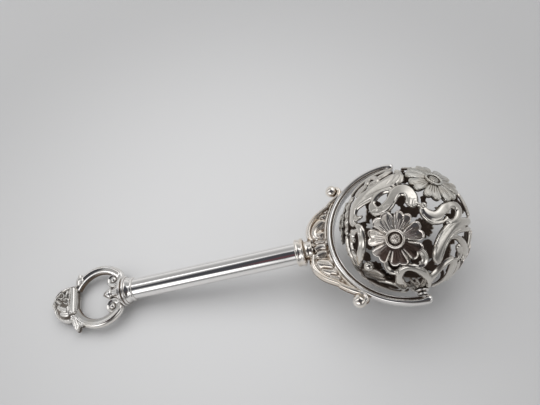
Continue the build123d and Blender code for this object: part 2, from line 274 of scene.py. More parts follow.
def tube_faces(rows, columns, closed=False, flip=False):
    """Faces of rows of points, each row a loop; closed also joins the last row to the first."""
    faces = []
    for i in range(rows if closed else rows - 1):
        this, following = i * columns, (i + 1) % rows * columns
        for j in range(columns):
            k = (j + 1) % columns
            face = (this + j, this + k, following + k, following + j)
            faces.append(face[:1] + face[:0:-1] if flip else face)
    return faces


def cap_faces(rows, columns, flip=False):
    first = list(range(columns))
    last = [(rows - 1) * columns + j for j in first]
    return [first, last[::-1]] if flip else [first[::-1], last]


def resample(stations, step):
    """Smooth curve through the stations, evenly spaced on the first three columns, and the
    distance along it."""
    stations = np.asarray(stations, float)
    padded = np.vstack([2 * stations[0] - stations[1], stations,
                        2 * stations[-1] - stations[-2]])
    curve = []
    for i in range(1, len(padded) - 2):
        p0, p1, p2, p3 = padded[i - 1 : i + 3]
        for t in np.linspace(0, 1, 24, endpoint=False):
            curve.append(0.5 * (2 * p1 + (-p0 + p2) * t + (2 * p0 - 5 * p1 + 4 * p2 - p3) * t**2
                                + (-p0 + 3 * p1 - 3 * p2 + p3) * t**3))
    curve = np.array(curve + [stations[-1]])
    lengths = np.linalg.norm(np.diff(curve[:, :3], axis=0), axis=1)
    along = np.concatenate([[0], np.cumsum(lengths)])
    count = max(6, int(round(along[-1] / step)))
    even = np.linspace(0, along[-1], count + 1)
    return np.stack([np.interp(even, along, column) for column in curve.T], 1), even


def end_taper(along, first_reach, last_reach):
    """1 along a strand, falling to 0 over its two rounded ends."""
    taper = np.ones(len(along))
    for reach, distance in ((first_reach, along), (last_reach, along[-1] - along)):
        into = np.clip(distance / reach, 0, 1)
        taper = np.minimum(taper, np.sqrt(np.clip(1 - (1 - into) ** 2, 0, 1)))
    return taper


def half_rod(stations, height, depth, sign):
    """Domed rod of (x, y, z, width) stations, lying flat and facing +Z or -Z by its sign."""
    curve, along = resample(stations, 0.2)
    half_width = curve[:, 3] / 2
    taper = end_taper(along, 0.9 * half_width[0], 0.9 * half_width[-1])
    half_width = (half_width * np.maximum(taper, 0.10))[:, None]
    quarter = np.array([0, 0.14, 0.28, 0.42, 0.55, 0.66, 0.76, 0.86, 0.94, 0.985, 1.0])
    over = np.concatenate([-quarter[:0:-1], quarter])
    dome = np.clip(1 - np.abs(over) ** 2.4, 0, 1) ** 0.55
    across = np.concatenate([over, [0.97, 0.86, -0.86, -0.97]])
    relief = (0.55 + 0.45 * taper)[:, None] * np.concatenate([dome, np.zeros(4)])
    sunk = depth * np.concatenate([np.zeros(len(over)), [0.45, 1, 1, 0.45]])
    tangent = unit(np.gradient(curve[:, :3], axis=0))
    points = np.stack([curve[:, :1] - tangent[:, 1:2] * half_width * across,
                       curve[:, 1:2] + tangent[:, :1] * half_width * across,
                       sign * (curve[:, 2:3] + height * relief - sunk)], -1)
    size = relief.shape
    faces = tube_faces(*size) + cap_faces(*size)
    if sign < 0:
        faces = [face[::-1] for face in faces]
    return points, faces, relief


def sphere(centre, radius, rows=24):
    polar, around = np.meshgrid(np.pi * np.arange(rows + 1) / rows,
                                np.pi * np.arange(2 * rows) / rows, indexing="ij")
    points = np.stack([np.sin(polar) * np.cos(around), np.sin(polar) * np.sin(around),
                       np.cos(polar)], -1).reshape(-1, 3)
    return centre + radius * points, tube_faces(rows + 1, 2 * rows, flip=True)


def lathe(profile, axis="x", segments=96, centre=(0, 0, 0)):
    """Turned shape.  Profile rows: distance along the axis, radius."""
    place, radius = np.array(profile, float).T[:, :, None]
    turn = 2 * np.pi * np.arange(segments) / segments
    points = np.stack([place + 0 * turn, radius * np.cos(turn), radius * np.sin(turn)], -1)
    points = np.roll(points.reshape(-1, 3), "xyz".index(axis), axis=1) + np.array(centre)
    return points, tube_faces(len(profile), segments, flip=True)


def make_turned(name, material, piece, profile, axis="x", segments=96, relief=0.8, **settings):
    part = Part()
    part.add(*lathe(profile, axis, segments), relief)
    part.make(name, material, piece, **settings)


def rounded(profile, radius, steps=4):
    """Rounds the corners of a turned shape's profile."""
    profile = [np.array(p, float) for p in profile]
    out = [profile[0]]
    for before, corner, after in zip(profile, profile[1:], profile[2:]):
        back, on = before - corner, after - corner
        back_length, on_length = np.linalg.norm(back), np.linalg.norm(on)
        cut = min(radius, back_length * 0.45, on_length * 0.45)
        start, end = corner + back / back_length * cut, corner + on / on_length * cut
        for t in np.arange(steps + 1) / steps:
            out.append((1 - t) ** 2 * start + 2 * t * (1 - t) * corner + t**2 * end)
    return out + [profile[-1]]


def arc(place, radius, bend, start, end, count):
    """Profile points on an arc; place and radius are its centre, start and end in degrees."""
    return [(place + bend * math.cos(a), radius + bend * math.sin(a))
            for a in np.radians(np.linspace(start, end, count))]


# ------------------------------------------------------------------ carving
# A metal sheet is cut and raised by strands.  A strand is (kind, height, stations, tone), with
# stations of (x, y, z, width); a tone below 1 paints it darker and browner, but for a painted
# highlight on its crest.
def measure(points, stations, sphere_r):
    """Places the points near a strand: their indices, distance inside its edge, place across
    it (-1 to 1), distance from its middle, distance along it and its half width there."""
    curve, along = resample(stations, 0.25)
    middle, half_width = curve[:, :3], curve[:, 3] / 2
    normal = np.array([0.0, 0.0, 1.0])
    if sphere_r:
        middle = middle * (sphere_r / np.linalg.norm(middle, axis=1))[:, None]
        normal = unit(middle)
    tangent = unit(np.gradient(middle, axis=0))
    side = np.cross(normal, tangent)
    taper = end_taper(along, max(0.25, half_width[0]), max(0.25, half_width[-1]))
    half_width = half_width * np.maximum(taper, 0.05)
    centre = (middle.max(0) + middle.min(0)) / 2
    reach = np.linalg.norm(middle - centre, axis=1).max() + half_width.max() + 1.2
    near = np.where(((points - centre) ** 2).sum(1) < reach * reach)[0]
    if not len(near):
        return None
    close = points[near]
    squared = (close**2).sum(1)[:, None] + (middle**2).sum(1)[None] - 2 * close @ middle.T
    i = squared.argmin(1)
    offset = close - middle[i]
    forward, sideways = (offset * tangent[i]).sum(1), (offset * side[i]).sum(1)
    beyond = ((i == 0) & (forward < 0)) | ((i == len(middle) - 1) & (forward > 0))
    past_end = np.where(beyond, np.abs(forward), 0.0)
    growth = np.clip(np.gradient(half_width, along)[i], -1, 1)
    width = np.maximum(0.02, half_width[i] + growth * forward * (past_end == 0))
    inside = width - np.hypot(sideways, past_end)
    across = np.clip(sideways / np.maximum(width, 0.05), -1, 1)
    return near, inside, across, sideways, along[i] + forward, width


def strand_shape(kind, inside, across, sideways, along, width):
    """Raised height and brightness (0 to 1) of a strand across its width."""
    out = np.abs(across)
    shoulder = np.maximum(0.25, width * {"cushion": 0.56, "ribbon": 0.36}.get(kind, 0.98))
    edge = np.sqrt(np.clip(1 - (1 - np.clip(inside / shoulder, 0, 1)) ** 2, 0, 1))
    crown = np.sqrt(np.clip(1 - out**2, 0, 1))
    height = edge * (0.72 + 0.28 * crown)
    bright = np.ones_like(height)
    if kind == "cushion":
        height = edge * (0.74 + 0.26 * crown)
    elif kind == "ribbon":                # a broad strap, a little hollow, a line inside one edge
        line = gauss(inside, 0.42, 0.10) * (across > 0) * (width > 0.9)
        height = edge * (0.86 + 0.10 * out**2) - 0.10 * line
        bright -= 0.35 * line
    elif kind == "leaf":
        vein = gauss(sideways, 0, 0.16) + 0.55 * gauss(out, 0.52, 0.10) * (width > 1.2)
        height = edge * (0.74 + 0.24 * out**1.6) - 0.18 * vein * edge
        bright -= 0.6 * vein
    elif kind == "ridge":
        height = edge * (0.45 + 0.55 * (1 - out) ** 0.8)
    elif kind == "pearls":
        wave = 0.5 - 0.5 * np.cos(along * 2 * math.pi / 2.9)
        height = height * (0.55 + 0.45 * wave**0.6)
        bright = 0.35 + 0.65 * wave**0.35
    elif kind == "flat":
        height = edge * 0.8
    return height, np.clip(bright, 0, 1)


def carve(points, strands, sphere_r=None, blend=0.10, crease=0.6, groove=0.10, reach=0.10):
    """Field (positive inside the metal), height in mm and painted brightness at every point.

    blend rounds the corners where strands join; crease darkens the lines where they cross, oxide
    and painted shade, and groove sinks them; reach is the height difference that still counts as a
    crossing.
    """
    count = len(points)
    total, height, below = np.zeros(count), np.zeros(count), np.zeros(count)
    bright = np.full(count, 0.55)
    deepest, second = np.full(count, -9.0), np.full(count, -9.0)   # how far inside two strands
    for kind, rise, stations, tone in strands:
        found = measure(points, stations, sphere_r)
        if found is None:
            continue
        near, inside, *_, width = found
        if kind in ("rib", "cut"):        # a raised or sunk line on top of what is there
            sign = 1 if kind == "rib" else -1
            line = domed(inside, np.maximum(width, 0.1), rise)
            height[near] += sign * line * (height[near] > 0)
            edge = gauss(inside, 0, 0.10) * (height[near] > 0)
            bright[near] = np.clip(bright[near] - 0.55 * edge, 0, 1)
            continue
        second[near] = np.maximum(second[near], np.minimum(deepest[near], inside))
        deepest[near] = np.maximum(deepest[near], inside)
        total[near] += np.exp(np.clip(inside, -2.5, 1.0) / blend)
        own, own_bright = strand_shape(kind, *found[1:])
        # a tone below 1 darkens the strand, but for a painted highlight on its crest
        own_bright = own_bright * (tone + (1 - tone) * 0.8 * np.clip((own - 0.72) / 0.25, 0, 1))
        own = own * rise
        lower = np.maximum(below[near], np.minimum(height[near], own))
        below[near] = np.where(inside > 0.04, lower, below[near])
        up = (inside > 0) & (own > height[near])
        height[near[up]] = own[up]
        bright[near[up]] = own_bright[up]
    field = blend * np.log(total + math.exp(-2.5 / blend))
    usual = np.median(height[height > 0])
    # brown in the valleys between strands: oxide and painted shade
    valley = (np.clip((deepest - 0.02) / 0.10, 0, 1) * np.clip(1 - height / (0.62 * usual), 0, 1)
              * np.clip(second / 0.15 + 0.25, 0.25, 1))
    bright = np.clip(bright * (1 - 0.95 * valley), 0, 1)
    # painted shade: darker towards the metal's outer edge, a dark outline along the openings
    bright = bright * (0.22 + 0.78 * np.clip(field / 0.24, 0, 1))
    gap = height - below
    # brown lines where strands cross: oxide and painted shade
    line = gauss(gap, 0, reach) * (below > 0.12) * np.clip(second / 0.12, 0, 1)
    dark = gauss(gap, 0, 2.0 * reach) * (below > 0.08) * np.clip(second / 0.08, 0, 1)
    field = np.where(field > 0.9, np.maximum(field, deepest), field)
    return field, height - groove * line, bright * (1 - crease * dark)


def smoothed(values, triangles, rounds, keep=0.4):
    """Evens out values over the grid, the way a cast surface is rubbed down."""
    first, second, third = triangles.T
    here = np.concatenate([first, second, third, second, third, first])
    there = np.concatenate([second, third, first, first, second, third])
    size = len(values)
    count = np.maximum(1, np.bincount(here, minlength=size))
    for _ in range(rounds):
        around = np.bincount(here, weights=values[there], minlength=size) / count
        values = keep * values + (1 - keep) * around
    return values


def cut_sheet(top, bottom, field, triangles, relief):
    """Cuts a two-sided sheet along field = 0, keeps the positive part and walls its edge."""
    inside = field > 0
    corners_in = inside[triangles].sum(1)
    count = len(field)
    crossed = triangles[(corners_in == 1) | (corners_in == 2)]
    edges = np.concatenate([crossed[:, [0, 1]], crossed[:, [1, 2]], crossed[:, [2, 0]]])
    edges = np.sort(edges, axis=1)
    edges = edges[inside[edges[:, 0]] != inside[edges[:, 1]]]
    keys = np.unique(edges[:, 0].astype(np.int64) * count + edges[:, 1])
    start, end = keys // count, keys % count
    share = np.clip(field[start] / (field[start] - field[end]), 0.02, 0.98)

    def with_cuts(values):
        weight = share if values.ndim == 1 else share[:, None]
        return np.concatenate([values, values[start] * (1 - weight) + values[end] * weight])

    def cut(a, b):
        key = np.minimum(a, b).astype(np.int64) * count + np.maximum(a, b)
        return count + np.searchsorted(keys, key)

    faces, rim_edges = [triangles[corners_in == 3]], []
    for turn in range(3):
        a, b, c = np.roll(crossed, -turn, axis=1).T
        one = inside[a] & ~inside[b] & ~inside[c]
        p, q = cut(a[one], b[one]), cut(a[one], c[one])
        faces.append(np.stack([a[one], p, q], 1))
        rim_edges.append(np.stack([p, q], 1))
        two = inside[a] & inside[b] & ~inside[c]
        p, q = cut(b[two], c[two]), cut(c[two], a[two])
        faces.append(np.stack([a[two], b[two], p], 1))
        faces.append(np.stack([a[two], p, q], 1))
        rim_edges.append(np.stack([p, q], 1))
    faces, rim_edges = np.concatenate(faces), np.concatenate(rim_edges)
    used = np.unique(faces)
    top, bottom, relief = (with_cuts(values)[used] for values in (top, bottom, relief))
    size = len(used)
    renumbered = np.full(count + len(keys), -1)
    renumbered[used] = np.arange(size)
    faces, rim_edges = renumbered[faces], renumbered[rim_edges]
    # side walls share the rim's points, with a ring half way down for the rounding
    rim = np.unique(rim_edges)
    ring = np.full(size, -1)
    ring[rim] = 2 * size + np.arange(len(rim))
    points = np.concatenate([top, bottom, top[rim] * 0.55 + bottom[rim] * 0.45])
    relief = np.concatenate([relief, np.zeros(size), np.full(len(rim), 0.15)])
    a, b = rim_edges.T
    walls = ((a, ring[b], b), (a, ring[a], ring[b]),
             (ring[a], b + size, ring[b]), (ring[a], a + size, b + size))
    faces = [faces, faces[:, ::-1] + size] + [np.stack(wall, 1) for wall in walls]
    return points, np.concatenate(faces), relief


def ball_grid(splits):
    """Evenly spread unit directions and their triangles: an icosahedron split along each side."""
    t = (1 + 5**0.5) / 2
    corners = np.array([(-1, t, 0), (1, t, 0), (-1, -t, 0), (1, -t, 0), (0, -1, t), (0, 1, t),
                        (0, -1, -t), (0, 1, -t), (t, 0, -1), (t, 0, 1), (-t, 0, -1), (-t, 0, 1)])
    sides = [(0, 11, 5), (0, 5, 1), (0, 1, 7), (0, 7, 10), (0, 10, 11), (1, 5, 9), (5, 11, 4),
             (11, 10, 2), (10, 7, 6), (7, 1, 8), (3, 9, 4), (3, 4, 2), (3, 2, 6), (3, 6, 8),
             (3, 8, 9), (4, 9, 5), (2, 4, 11), (6, 2, 10), (8, 6, 7), (9, 8, 1)]
    places = [(i, j) for i in range(splits + 1) for j in range(splits + 1 - i)]
    number = {place: q for q, place in enumerate(places)}
    pattern = []
    for i in range(splits):
        for j in range(splits - i):
            pattern.append((number[i, j], number[i + 1, j], number[i, j + 1]))
            if j < splits - i - 1:
                pattern.append((number[i + 1, j], number[i + 1, j + 1], number[i, j + 1]))
    pattern = np.array(pattern)
    rows, columns = np.array(places).T[:, :, None]
    points, triangles = [], []
    for q, (a, b, c) in enumerate(sides):
        points.append(corners[a] * (1 - (rows + columns) / splits)
                      + corners[b] * (rows / splits) + corners[c] * (columns / splits))
        triangles.append(pattern + q * len(places))
    points, triangles = np.concatenate(points), np.concatenate(triangles)
    _, first, merged = np.unique(np.round(points, 6), axis=0, return_index=True,
                                 return_inverse=True)
    return unit(points[first]), merged.reshape(-1)[triangles]


def plane_grid(x0, x1, y0, y1, step):
    nx, ny = int((x1 - x0) / step) + 1, int((y1 - y0) / step) + 1
    x, y = np.meshgrid(np.linspace(x0, x1, nx), np.linspace(y0, y1, ny), indexing="ij")
    q = np.arange(nx * ny).reshape(nx, ny)
    a, b, c, d = q[:-1, :-1].ravel(), q[1:, :-1].ravel(), q[1:, 1:].ravel(), q[:-1, 1:].ravel()
    triangles = np.concatenate([np.stack([a, b, c], 1), np.stack([a, c, d], 1)])
    return np.stack([x.ravel(), y.ravel(), np.zeros(nx * ny)], 1), triangles


def outline_field(points, outline):
    """Distance inside a closed outline (negative outside)."""
    points, outline = points[:, :2], np.asarray(outline, float)
    x, y = points.T
    nearest = np.full(len(points), 1e9)
    inside = np.zeros(len(points), bool)
    for a, b in zip(outline, np.roll(outline, -1, axis=0)):
        side = b - a
        t = np.clip(((points - a) @ side) / (side @ side), 0, 1)
        nearest = np.minimum(nearest, np.linalg.norm(points - a - t[:, None] * side, axis=1))
        crossing = side[0] * (y - a[1]) / (side[1] + 1e-12) + a[0]
        inside ^= ((a[1] > y) != (b[1] > y)) & (x < crossing)
    return np.where(inside, nearest, -nearest)


def flat_strand(kind, height, stations, widen):
    return kind, height, np.array([(x, y, 0.0, w * widen) for x, y, w in stations]), 1.0


def add_two_sided(part, grid, triangles, field, height, relief):
    """Adds a flat casting carved the same on its top and underside."""
    top = grid.copy()
    top[:, 2] = height
    points, faces, relief = cut_sheet(top, grid, field, triangles, relief)
    part.add(points, faces, relief)
    part.add(points * (1, 1, -1), faces[:, ::-1], relief)


# ------------------------------------------------------------------ the pierced ball
# Strands of the openwork: name, kind, height, then stations of (degrees about the pivots,
# degrees from the equator, width in mm).
STROKES = [
    ("scroll_a", "ribbon", 1.0, [
        (113, -3.2, 1.66), (109, -2.1, 2.81), (104.1, -0.2, 2.95), (99.6, 3.3, 2.74),
        (96.1, 8, 2.85), (92.4, 11.2, 3.4), (88.4, 11.6, 3.67), (84.7, 9.8, 3.46),
        (82.6, 5.3, 3.17), (82.8, 0.3, 3.18), (85.1, -3.8, 2.93), (87, -5.8, 1.72)]),
    ("scroll_a_end", "rib", 0.4, [(83.9, 1.2, 0.45), (85.3, -2.6, 0.56), (86.8, -6.5, 0.56)]),
    ("scroll_a_loop", "dome", 1.0, [
        (115.7, 6.9, 1.69), (112.5, 11.4, 1.85), (108.6, 14.5, 1.95), (104, 15.6, 1.86),
        (99.4, 15.3, 1.91), (96, 14.7, 2.04)]),
    ("leaf_long", "cushion", 0.92, [
        (84.1, 35, 3.43), (89.3, 29.4, 6.21), (97.8, 25.1, 6.44), (107.4, 21.3, 6.37),
        (117.6, 19.2, 6.06), (128, 17.6, 5.4), (135.2, 14.1, 4.21), (138.4, 8.4, 3.48),
        (139.7, 2.2, 3.47), (141.1, -2.8, 2.07)]),
    ("scroll_s", "cushion", 1.05, [
        (75.1, -7.6, 1.73), (74.6, -11.5, 2.51), (71.7, -14.8, 3.14), (66.7, -16.5, 3.37),
        (61.4, -14.7, 3.55), (56.6, -10.5, 3.54), (51.5, -6.4, 2.63), (45.4, -5.2, 2.62),
        (40.2, -6.8, 3.23), (39.6, -11.1, 2.84), (43, -16.3, 2.03), (48.5, -19.9, 1.47),
        (53.6, -20.3, 1.53), (56.1, -17.8, 1.62)]),
    ("scroll_s_rim", "dome", 1.0, [
        (76.9, -5.4, 0.75), (78.2, -10.1, 0.88), (77.4, -15.1, 0.97), (73.7, -19.7, 1.03),
        (68.2, -22, 1), (62.3, -21.8, 0.97), (57.3, -19.4, 0.98), (55, -15.9, 1.01)]),
    ("fan_a", "cushion", 1.0, [
        (18.5, -12.9, 2.15), (37.8, -19.3, 2.59), (48.6, -24.2, 3.24), (55.9, -30, 3.52),
        (60.7, -36.9, 3.34), (63.4, -44.5, 3.14), (63.1, -51.2, 2.63), (57.8, -56.4, 1.58)]),
    ("fan_b", "dome", 0.95, [
        (17.6, -19.7, 1.62), (36.7, -25.4, 1.78), (46.2, -29.7, 1.91), (52.6, -35.4, 1.76),
        (56.1, -41.7, 1.55), (57.5, -48.2, 1.41), (57.2, -54, 1.14)]),
    ("hook_r", "dome", 0.9, [
        (55.9, -38.7, 1.06), (50.4, -34.1, 1.33), (41.9, -32.7, 1.48), (31.2, -34.1, 2.5),
        (19.7, -37.1, 3.38), (8.5, -40.8, 3.11), (11.4, -47.2, 2.79)]),
    ("hook_r_in", "dome", 0.85, [
        (36.9, -39.7, 1.78), (28.4, -41.4, 2.55), (23.8, -45.5, 2.81), (25.5, -49.9, 2.44)]),
    ("limb_r", "dome", 0.85, [
        (14.8, -20.6, 2.5), (11.6, -27.6, 2.51), (8.4, -33.8, 2.52), (3.9, -40.8, 2.56)]),
    ("limb_r_top", "dome", 0.85, [
        (25.5, 13.1, 1.92), (21.5, 6.9, 2.3), (18.7, -0.3, 2.3), (16.4, -7.7, 2.05)]),
    ("fold_a", "ridge", 0.95, [
        (33.5, -49.6, 2.12), (43, -55.3, 2.54), (49.8, -62, 2.55), (53.9, -69.3, 2.69),
        (54.1, -77, 2.75), (28.3, -84.4, 2.15)]),
    ("fold_b", "leaf", 0.85, [
        (32.6, -50.1, 2.7), (23.6, -55, 3.9), (10.8, -60.8, 4.06), (-2.7, -66.4, 3.72),
        (-11.6, -72.9, 3.36), (-18.7, -80.7, 2.48)]),
    ("fold_c", "dome", 0.7, [
        (15.8, -49.3, 1.85), (-0.8, -53.2, 2.26), (-10.2, -58.8, 2.3), (-22.5, -64.4, 1.85)]),
    ("arch", "cushion", 1.05, [
        (165.1, -76, 3.06), (143.5, -69.1, 2.83), (128.2, -61.9, 2.09), (117.3, -57, 2.13),
        (107.4, -55.3, 2.07), (98.8, -57.1, 2.22), (89.8, -61.2, 2.32), (79.6, -67.3, 2.25),
        (65.1, -75.2, 1.85), (14, -83.9, 2.11)]),
    ("hook_k", "dome", 0.95, [
        (120.1, -38.2, 1.15), (125.8, -42.1, 1.39), (130.7, -47.2, 1.75),
        (131.9, -52.4, 1.97), (127.7, -56.1, 1.72), (120.4, -55.6, 1.26)]),
    ("curl_base", "flat", 0.45, [
        (89.7, -40.8, 1.77), (83, -44.2, 2), (79.8, -49.9, 1.91), (81.8, -55, 2.19),
        (89.3, -55.9, 1.78)]),
    ("curl_out", "dome", 0.9, [
        (88.8, -39, 0.82), (84.1, -41.2, 0.84), (79.7, -44.7, 0.85), (77.2, -49.7, 0.88),
        (78.1, -54.6, 1), (83.4, -57.6, 1.1), (91, -57, 1.08)]),
    ("curl_in", "dome", 0.8, [
        (94, -41.1, 0.78), (89.8, -43.2, 0.8), (85.8, -45.7, 0.78), (83.2, -49.8, 0.77),
        (84.5, -53.2, 0.92), (89.2, -54, 1.17)]),
    ("feather_a", "leaf", 0.85, [
        (168.3, -36.5, 1.84), (158.5, -41.5, 2.58), (151.7, -47.1, 2.97),
        (147.2, -54.1, 1.25)]),
    ("feather_b", "leaf", 0.75, [
        (174.7, -39.1, 1.85), (165.4, -46, 2.8), (160.3, -52.4, 2.54), (152.4, -56.7, 1.12)]),
    ("stem_l", "dome", 0.7, [
        (167.6, -51.6, 1.59), (159.9, -57.4, 1.69), (155.8, -63.8, 1.69), (156.5, -71.8, 1.7)]),
    ("stem_l2", "flat", 0.6, [
        (-171.2, -42.9, 2.16), (-167.4, -50.4, 2.56), (-163.1, -57.7, 2.82),
        (-154.4, -63.9, 2.56), (-147.8, -71.1, 2.21)]),
    ("crescent", "cushion", 1.0, [
        (136.2, -2.6, 1.59), (133.9, -8.4, 2.63), (134.9, -14.7, 3.07), (139, -20.4, 3.15),
        (146, -24.9, 2.94), (154.9, -28.4, 2.69), (166.5, -31.2, 2.08)]),
    ("crescent_curl", "dome", 0.95, [
        (135, -9.3, 1.52), (140.4, -7.2, 1.73), (145.7, -7.7, 2.39), (147.8, -11.4, 2.28),
        (144.9, -14.5, 1.33)]),
    ("limb_l", "pearls", 0.9, [
        (138.9, 29, 2.22), (146.1, 26.3, 2.48), (148.4, 19, 2.47), (149.4, 10.5, 2.32),
        (151.6, 2.7, 2.19), (155.1, -4.2, 2.07)]),
    ("limb_l2", "dome", 0.8, [
        (155.1, -4.2, 1.83), (159.4, -8.9, 1.84), (163, -14.7, 1.84), (166.6, -21.4, 1.84),
        (173.5, -26.7, 1.86), (-177.9, -31.9, 1.87)]),
    ("limb_l3", "ridge", 0.8, [
        (157.6, -17.8, 1.82), (159.4, -23.8, 2.67), (164.2, -29.1, 2.2), (168.6, -31.8, 1.84)]),
    ("leaf_rib", "cut", 0.28, [
        (85.7, 38.4, 1.58), (90.1, 31.6, 1.27), (94.8, 24.6, 1.06), (99.3, 20.4, 0.69)]),
    ("leaf_edge", "dome", 1.05, [
        (93.6, 17.9, 1.05), (99.7, 17.9, 1.23), (107, 17.9, 1.35), (114.2, 17.2, 1.31),
        (121, 15.9, 1.06)]),
    ("leaf_turn", "dome", 1.1, [
        (92.8, 18.8, 1.36), (88.1, 23.1, 1.58), (84.8, 28.9, 1.08), (84, 36.7, 1.93),
        (87.2, 41.8, 1.6)]),
    ("spur_a", "dome", 0.8, [(138.4, 4.9, 1.9), (133.1, 1.7, 1.52), (127.9, 1.4, 0.75)]),
    ("spur_b", "dome", 0.8, [(140.5, 0.5, 1.98), (135.7, -3.7, 1.12), (131.7, -6.3, 0.42)]),
    ("scroll_a_lobe", "ribbon", 1.08, [
        (115.2, 8.6, 1.62), (116, 4.1, 2.12), (114.4, -0.4, 2.61), (111, -2.2, 2.45),
        (106.5, -1.7, 1.64)]),
    ("scroll_a_end2", "rib", 0.4, [(81.3, -0.3, 0.45), (83.1, -3.9, 0.5), (84.5, -6.8, 0.5)]),
    ("neck", "dome", 0.85, [
        (81.9, -2, 1.96), (79.7, -4.4, 1.37), (76.9, -5.6, 1.18), (74.7, -6.7, 1.31)]),
    ("fan_rim", "dome", 1.1, [
        (51.1, -21.4, 0.82), (57.7, -25.8, 0.88), (63.1, -31.3, 0.9), (66.9, -38.1, 0.9),
        (68.7, -45.5, 0.89), (66.7, -51.9, 0.85), (59.7, -57, 0.7)]),
    ("tuft_a", "leaf", 0.75, [(139.4, -85.5, 2.77), (118.8, -76.7, 1.57), (112.9, -68.5, 0.66)]),
    ("tuft_b", "leaf", 0.8, [(121.5, -87.4, 1.59), (102.2, -78, 1.32), (100.2, -69.9, 0.7)]),
    ("tuft_c", "leaf", 0.75, [(46.2, -88.9, 2.53), (79.1, -79.3, 1.49), (81.1, -73.1, 0.67)]),
    ("tuft_d", "leaf", 0.7, [(168.8, -83.6, 2.77), (142.4, -77.7, 2.12), (133.5, -71.7, 0.96)]),
    ("hook_k2", "flat", 0.5, [(114.9, -40.5, 1.72), (119, -45, 2.09), (121.8, -50.4, 1.73)]),
    ("crescent_in", "rib", 0.3, [
        (136.2, -10, 0.77), (138, -16.6, 0.84), (143.4, -21.6, 0.84), (152.1, -25.5, 0.82)]),
    ("limb_l4", "dome", 0.75, [
        (143, -3.8, 1.81), (147.7, -8, 1.59), (152.6, -13.3, 1.57), (155.6, -18.7, 1.57)]),
    ("far_leaf", "leaf", 0.9, [
        (121.5, 36, 1.84), (126.5, 32.8, 3.67), (131.4, 29.7, 3.91), (136.6, 28.5, 2.46)]),
    ("far_curl", "dome", 0.9, [
        (121.6, 33.5, 2.45), (122, 41.9, 2.23), (118.6, 46, 1.99), (110.7, 40.3, 1.85),
        (108, 33.5, 1.65), (111.7, 31.5, 1.82), (115.7, 34.5, 1.59)]),
    ("far_band", "ridge", 0.85, [
        (91.7, 49.2, 2.8), (100, 41.8, 3.07), (107.5, 37.8, 2.69), (112.4, 32.8, 2.43),
        (118.6, 30.3, 2.43)]),
    ("far_rim", "dome", 0.8, [
        (95.7, 53.9, 1.5), (109.5, 54, 1.5), (125, 54.4, 1.5), (137, 51, 1.5),
        (147, 45, 1.5), (151.3, 38, 1.4)]),
]
# strands painted darker and browner, but for a painted highlight on their crests
TONES = {
    "feather_a": 0.4, "feather_b": 0.35, "stem_l": 0.45, "stem_l2": 0.4, "tuft_a": 0.5,
    "tuft_b": 0.6, "tuft_c": 0.6, "tuft_d": 0.45, "hook_k2": 0.5, "curl_base": 0.4,
    "far_leaf": 0.6, "far_curl": 0.75, "far_band": 0.6, "far_rim": 0.7, "limb_l": 0.75,
    "limb_l2": 0.7, "limb_l3": 0.6, "limb_l4": 0.7, "limb_r": 0.6, "limb_r_top": 0.55,
    "fold_b": 0.8, "fold_c": 0.6, "hook_r": 0.75, "hook_r_in": 0.6, "leaf_long": 0.85,
}
# width factors of the strands on the upper side
WIDER = {"scroll_a": 1.22, "scroll_a_lobe": 1.25, "scroll_s": 1.12, "arch": 1.22, "fan_a": 1.15,
         "crescent": 0.96, "fold_a": 1.15}
# degrees about the pivots, degrees from the equator, radius in mm
BEADS = [(74.9, -6.7, 0.9), (149.5, -38.6, 1.56), (37.2, -39.4, 0.82), (121.5, -55.9, 0.8)]
# openings of the hidden side: the same angles, half sizes in mm, turn in degrees
OPENINGS = [
    (-145.3, 42.6, 4.22, 3.12, 31.2), (-124.2, 31.8, 2.01, 1.15, 177.9),
    (-110.2, 62.8, 2.85, 2.08, 62.8), (-88.0, 47.6, 2.06, 1.87, 88.1),
    (-53.4, 7.1, 3.72, 2.85, 111.1), (-40.0, -17.3, 3.3, 1.47, 89.9),
    (-153.4, 3.6, 2.75, 1.49, 143.2), (-122.9, 2.6, 2.7, 1.55, 111.9),
    (-30.9, 53.8, 3.2, 2.42, 171.6), (-31.4, 36.6, 3.82, 2.71, -168.6),
]
# plain patches of the hidden side: the same angles, half sizes in mm
PATCHES = [(-67.4, 39.7, 3.7, 2.6), (-18.0, 77.4, 2.7, 2.7), (16.0, 70.0, 2.2, 2.2),
           (-124.0, -12.0, 2.3, 1.9)]
# first flower of each half, repeated in thirds about the pivots
FLOWERS = {"right": (105.6, -28.3), "left": (56.3, 19.4)}
HIDDEN_SIDE = unit(np.array([0.095, 0.40, -0.912]))


def direction(around, latitude):
    """Unit vector: degrees about the pivots from +X towards +Z, degrees from the equator to +Y."""
    a, b = math.radians(around), math.radians(latitude)
    return np.array([math.cos(b) * math.cos(a), math.sin(b), math.cos(b) * math.sin(a)])


def tangents(outward):
    first = unit(np.cross([0.0, 1.0, 0.0], outward))
    return first, np.cross(outward, first)


FLOWER_DIRECTIONS = np.array([direction(around + turn, latitude)
                              for around, latitude in FLOWERS.values()
                              for turn in (0, 120, 240)])


def ball_strand(stations, widen, turn=0.0, flip=False):
    rows = []
    for around, latitude, width in stations:
        if flip:
            around, latitude = 162.0 - around, -latitude
        rows.append([*(direction(around + turn, latitude) * BALL_R), width * widen])
    return np.array(rows)


def spread(stations):
    """Directions and widths along a strand."""
    curve, _ = resample(stations, 1.2)
    return unit(curve[:, :3]), curve[:, 3]


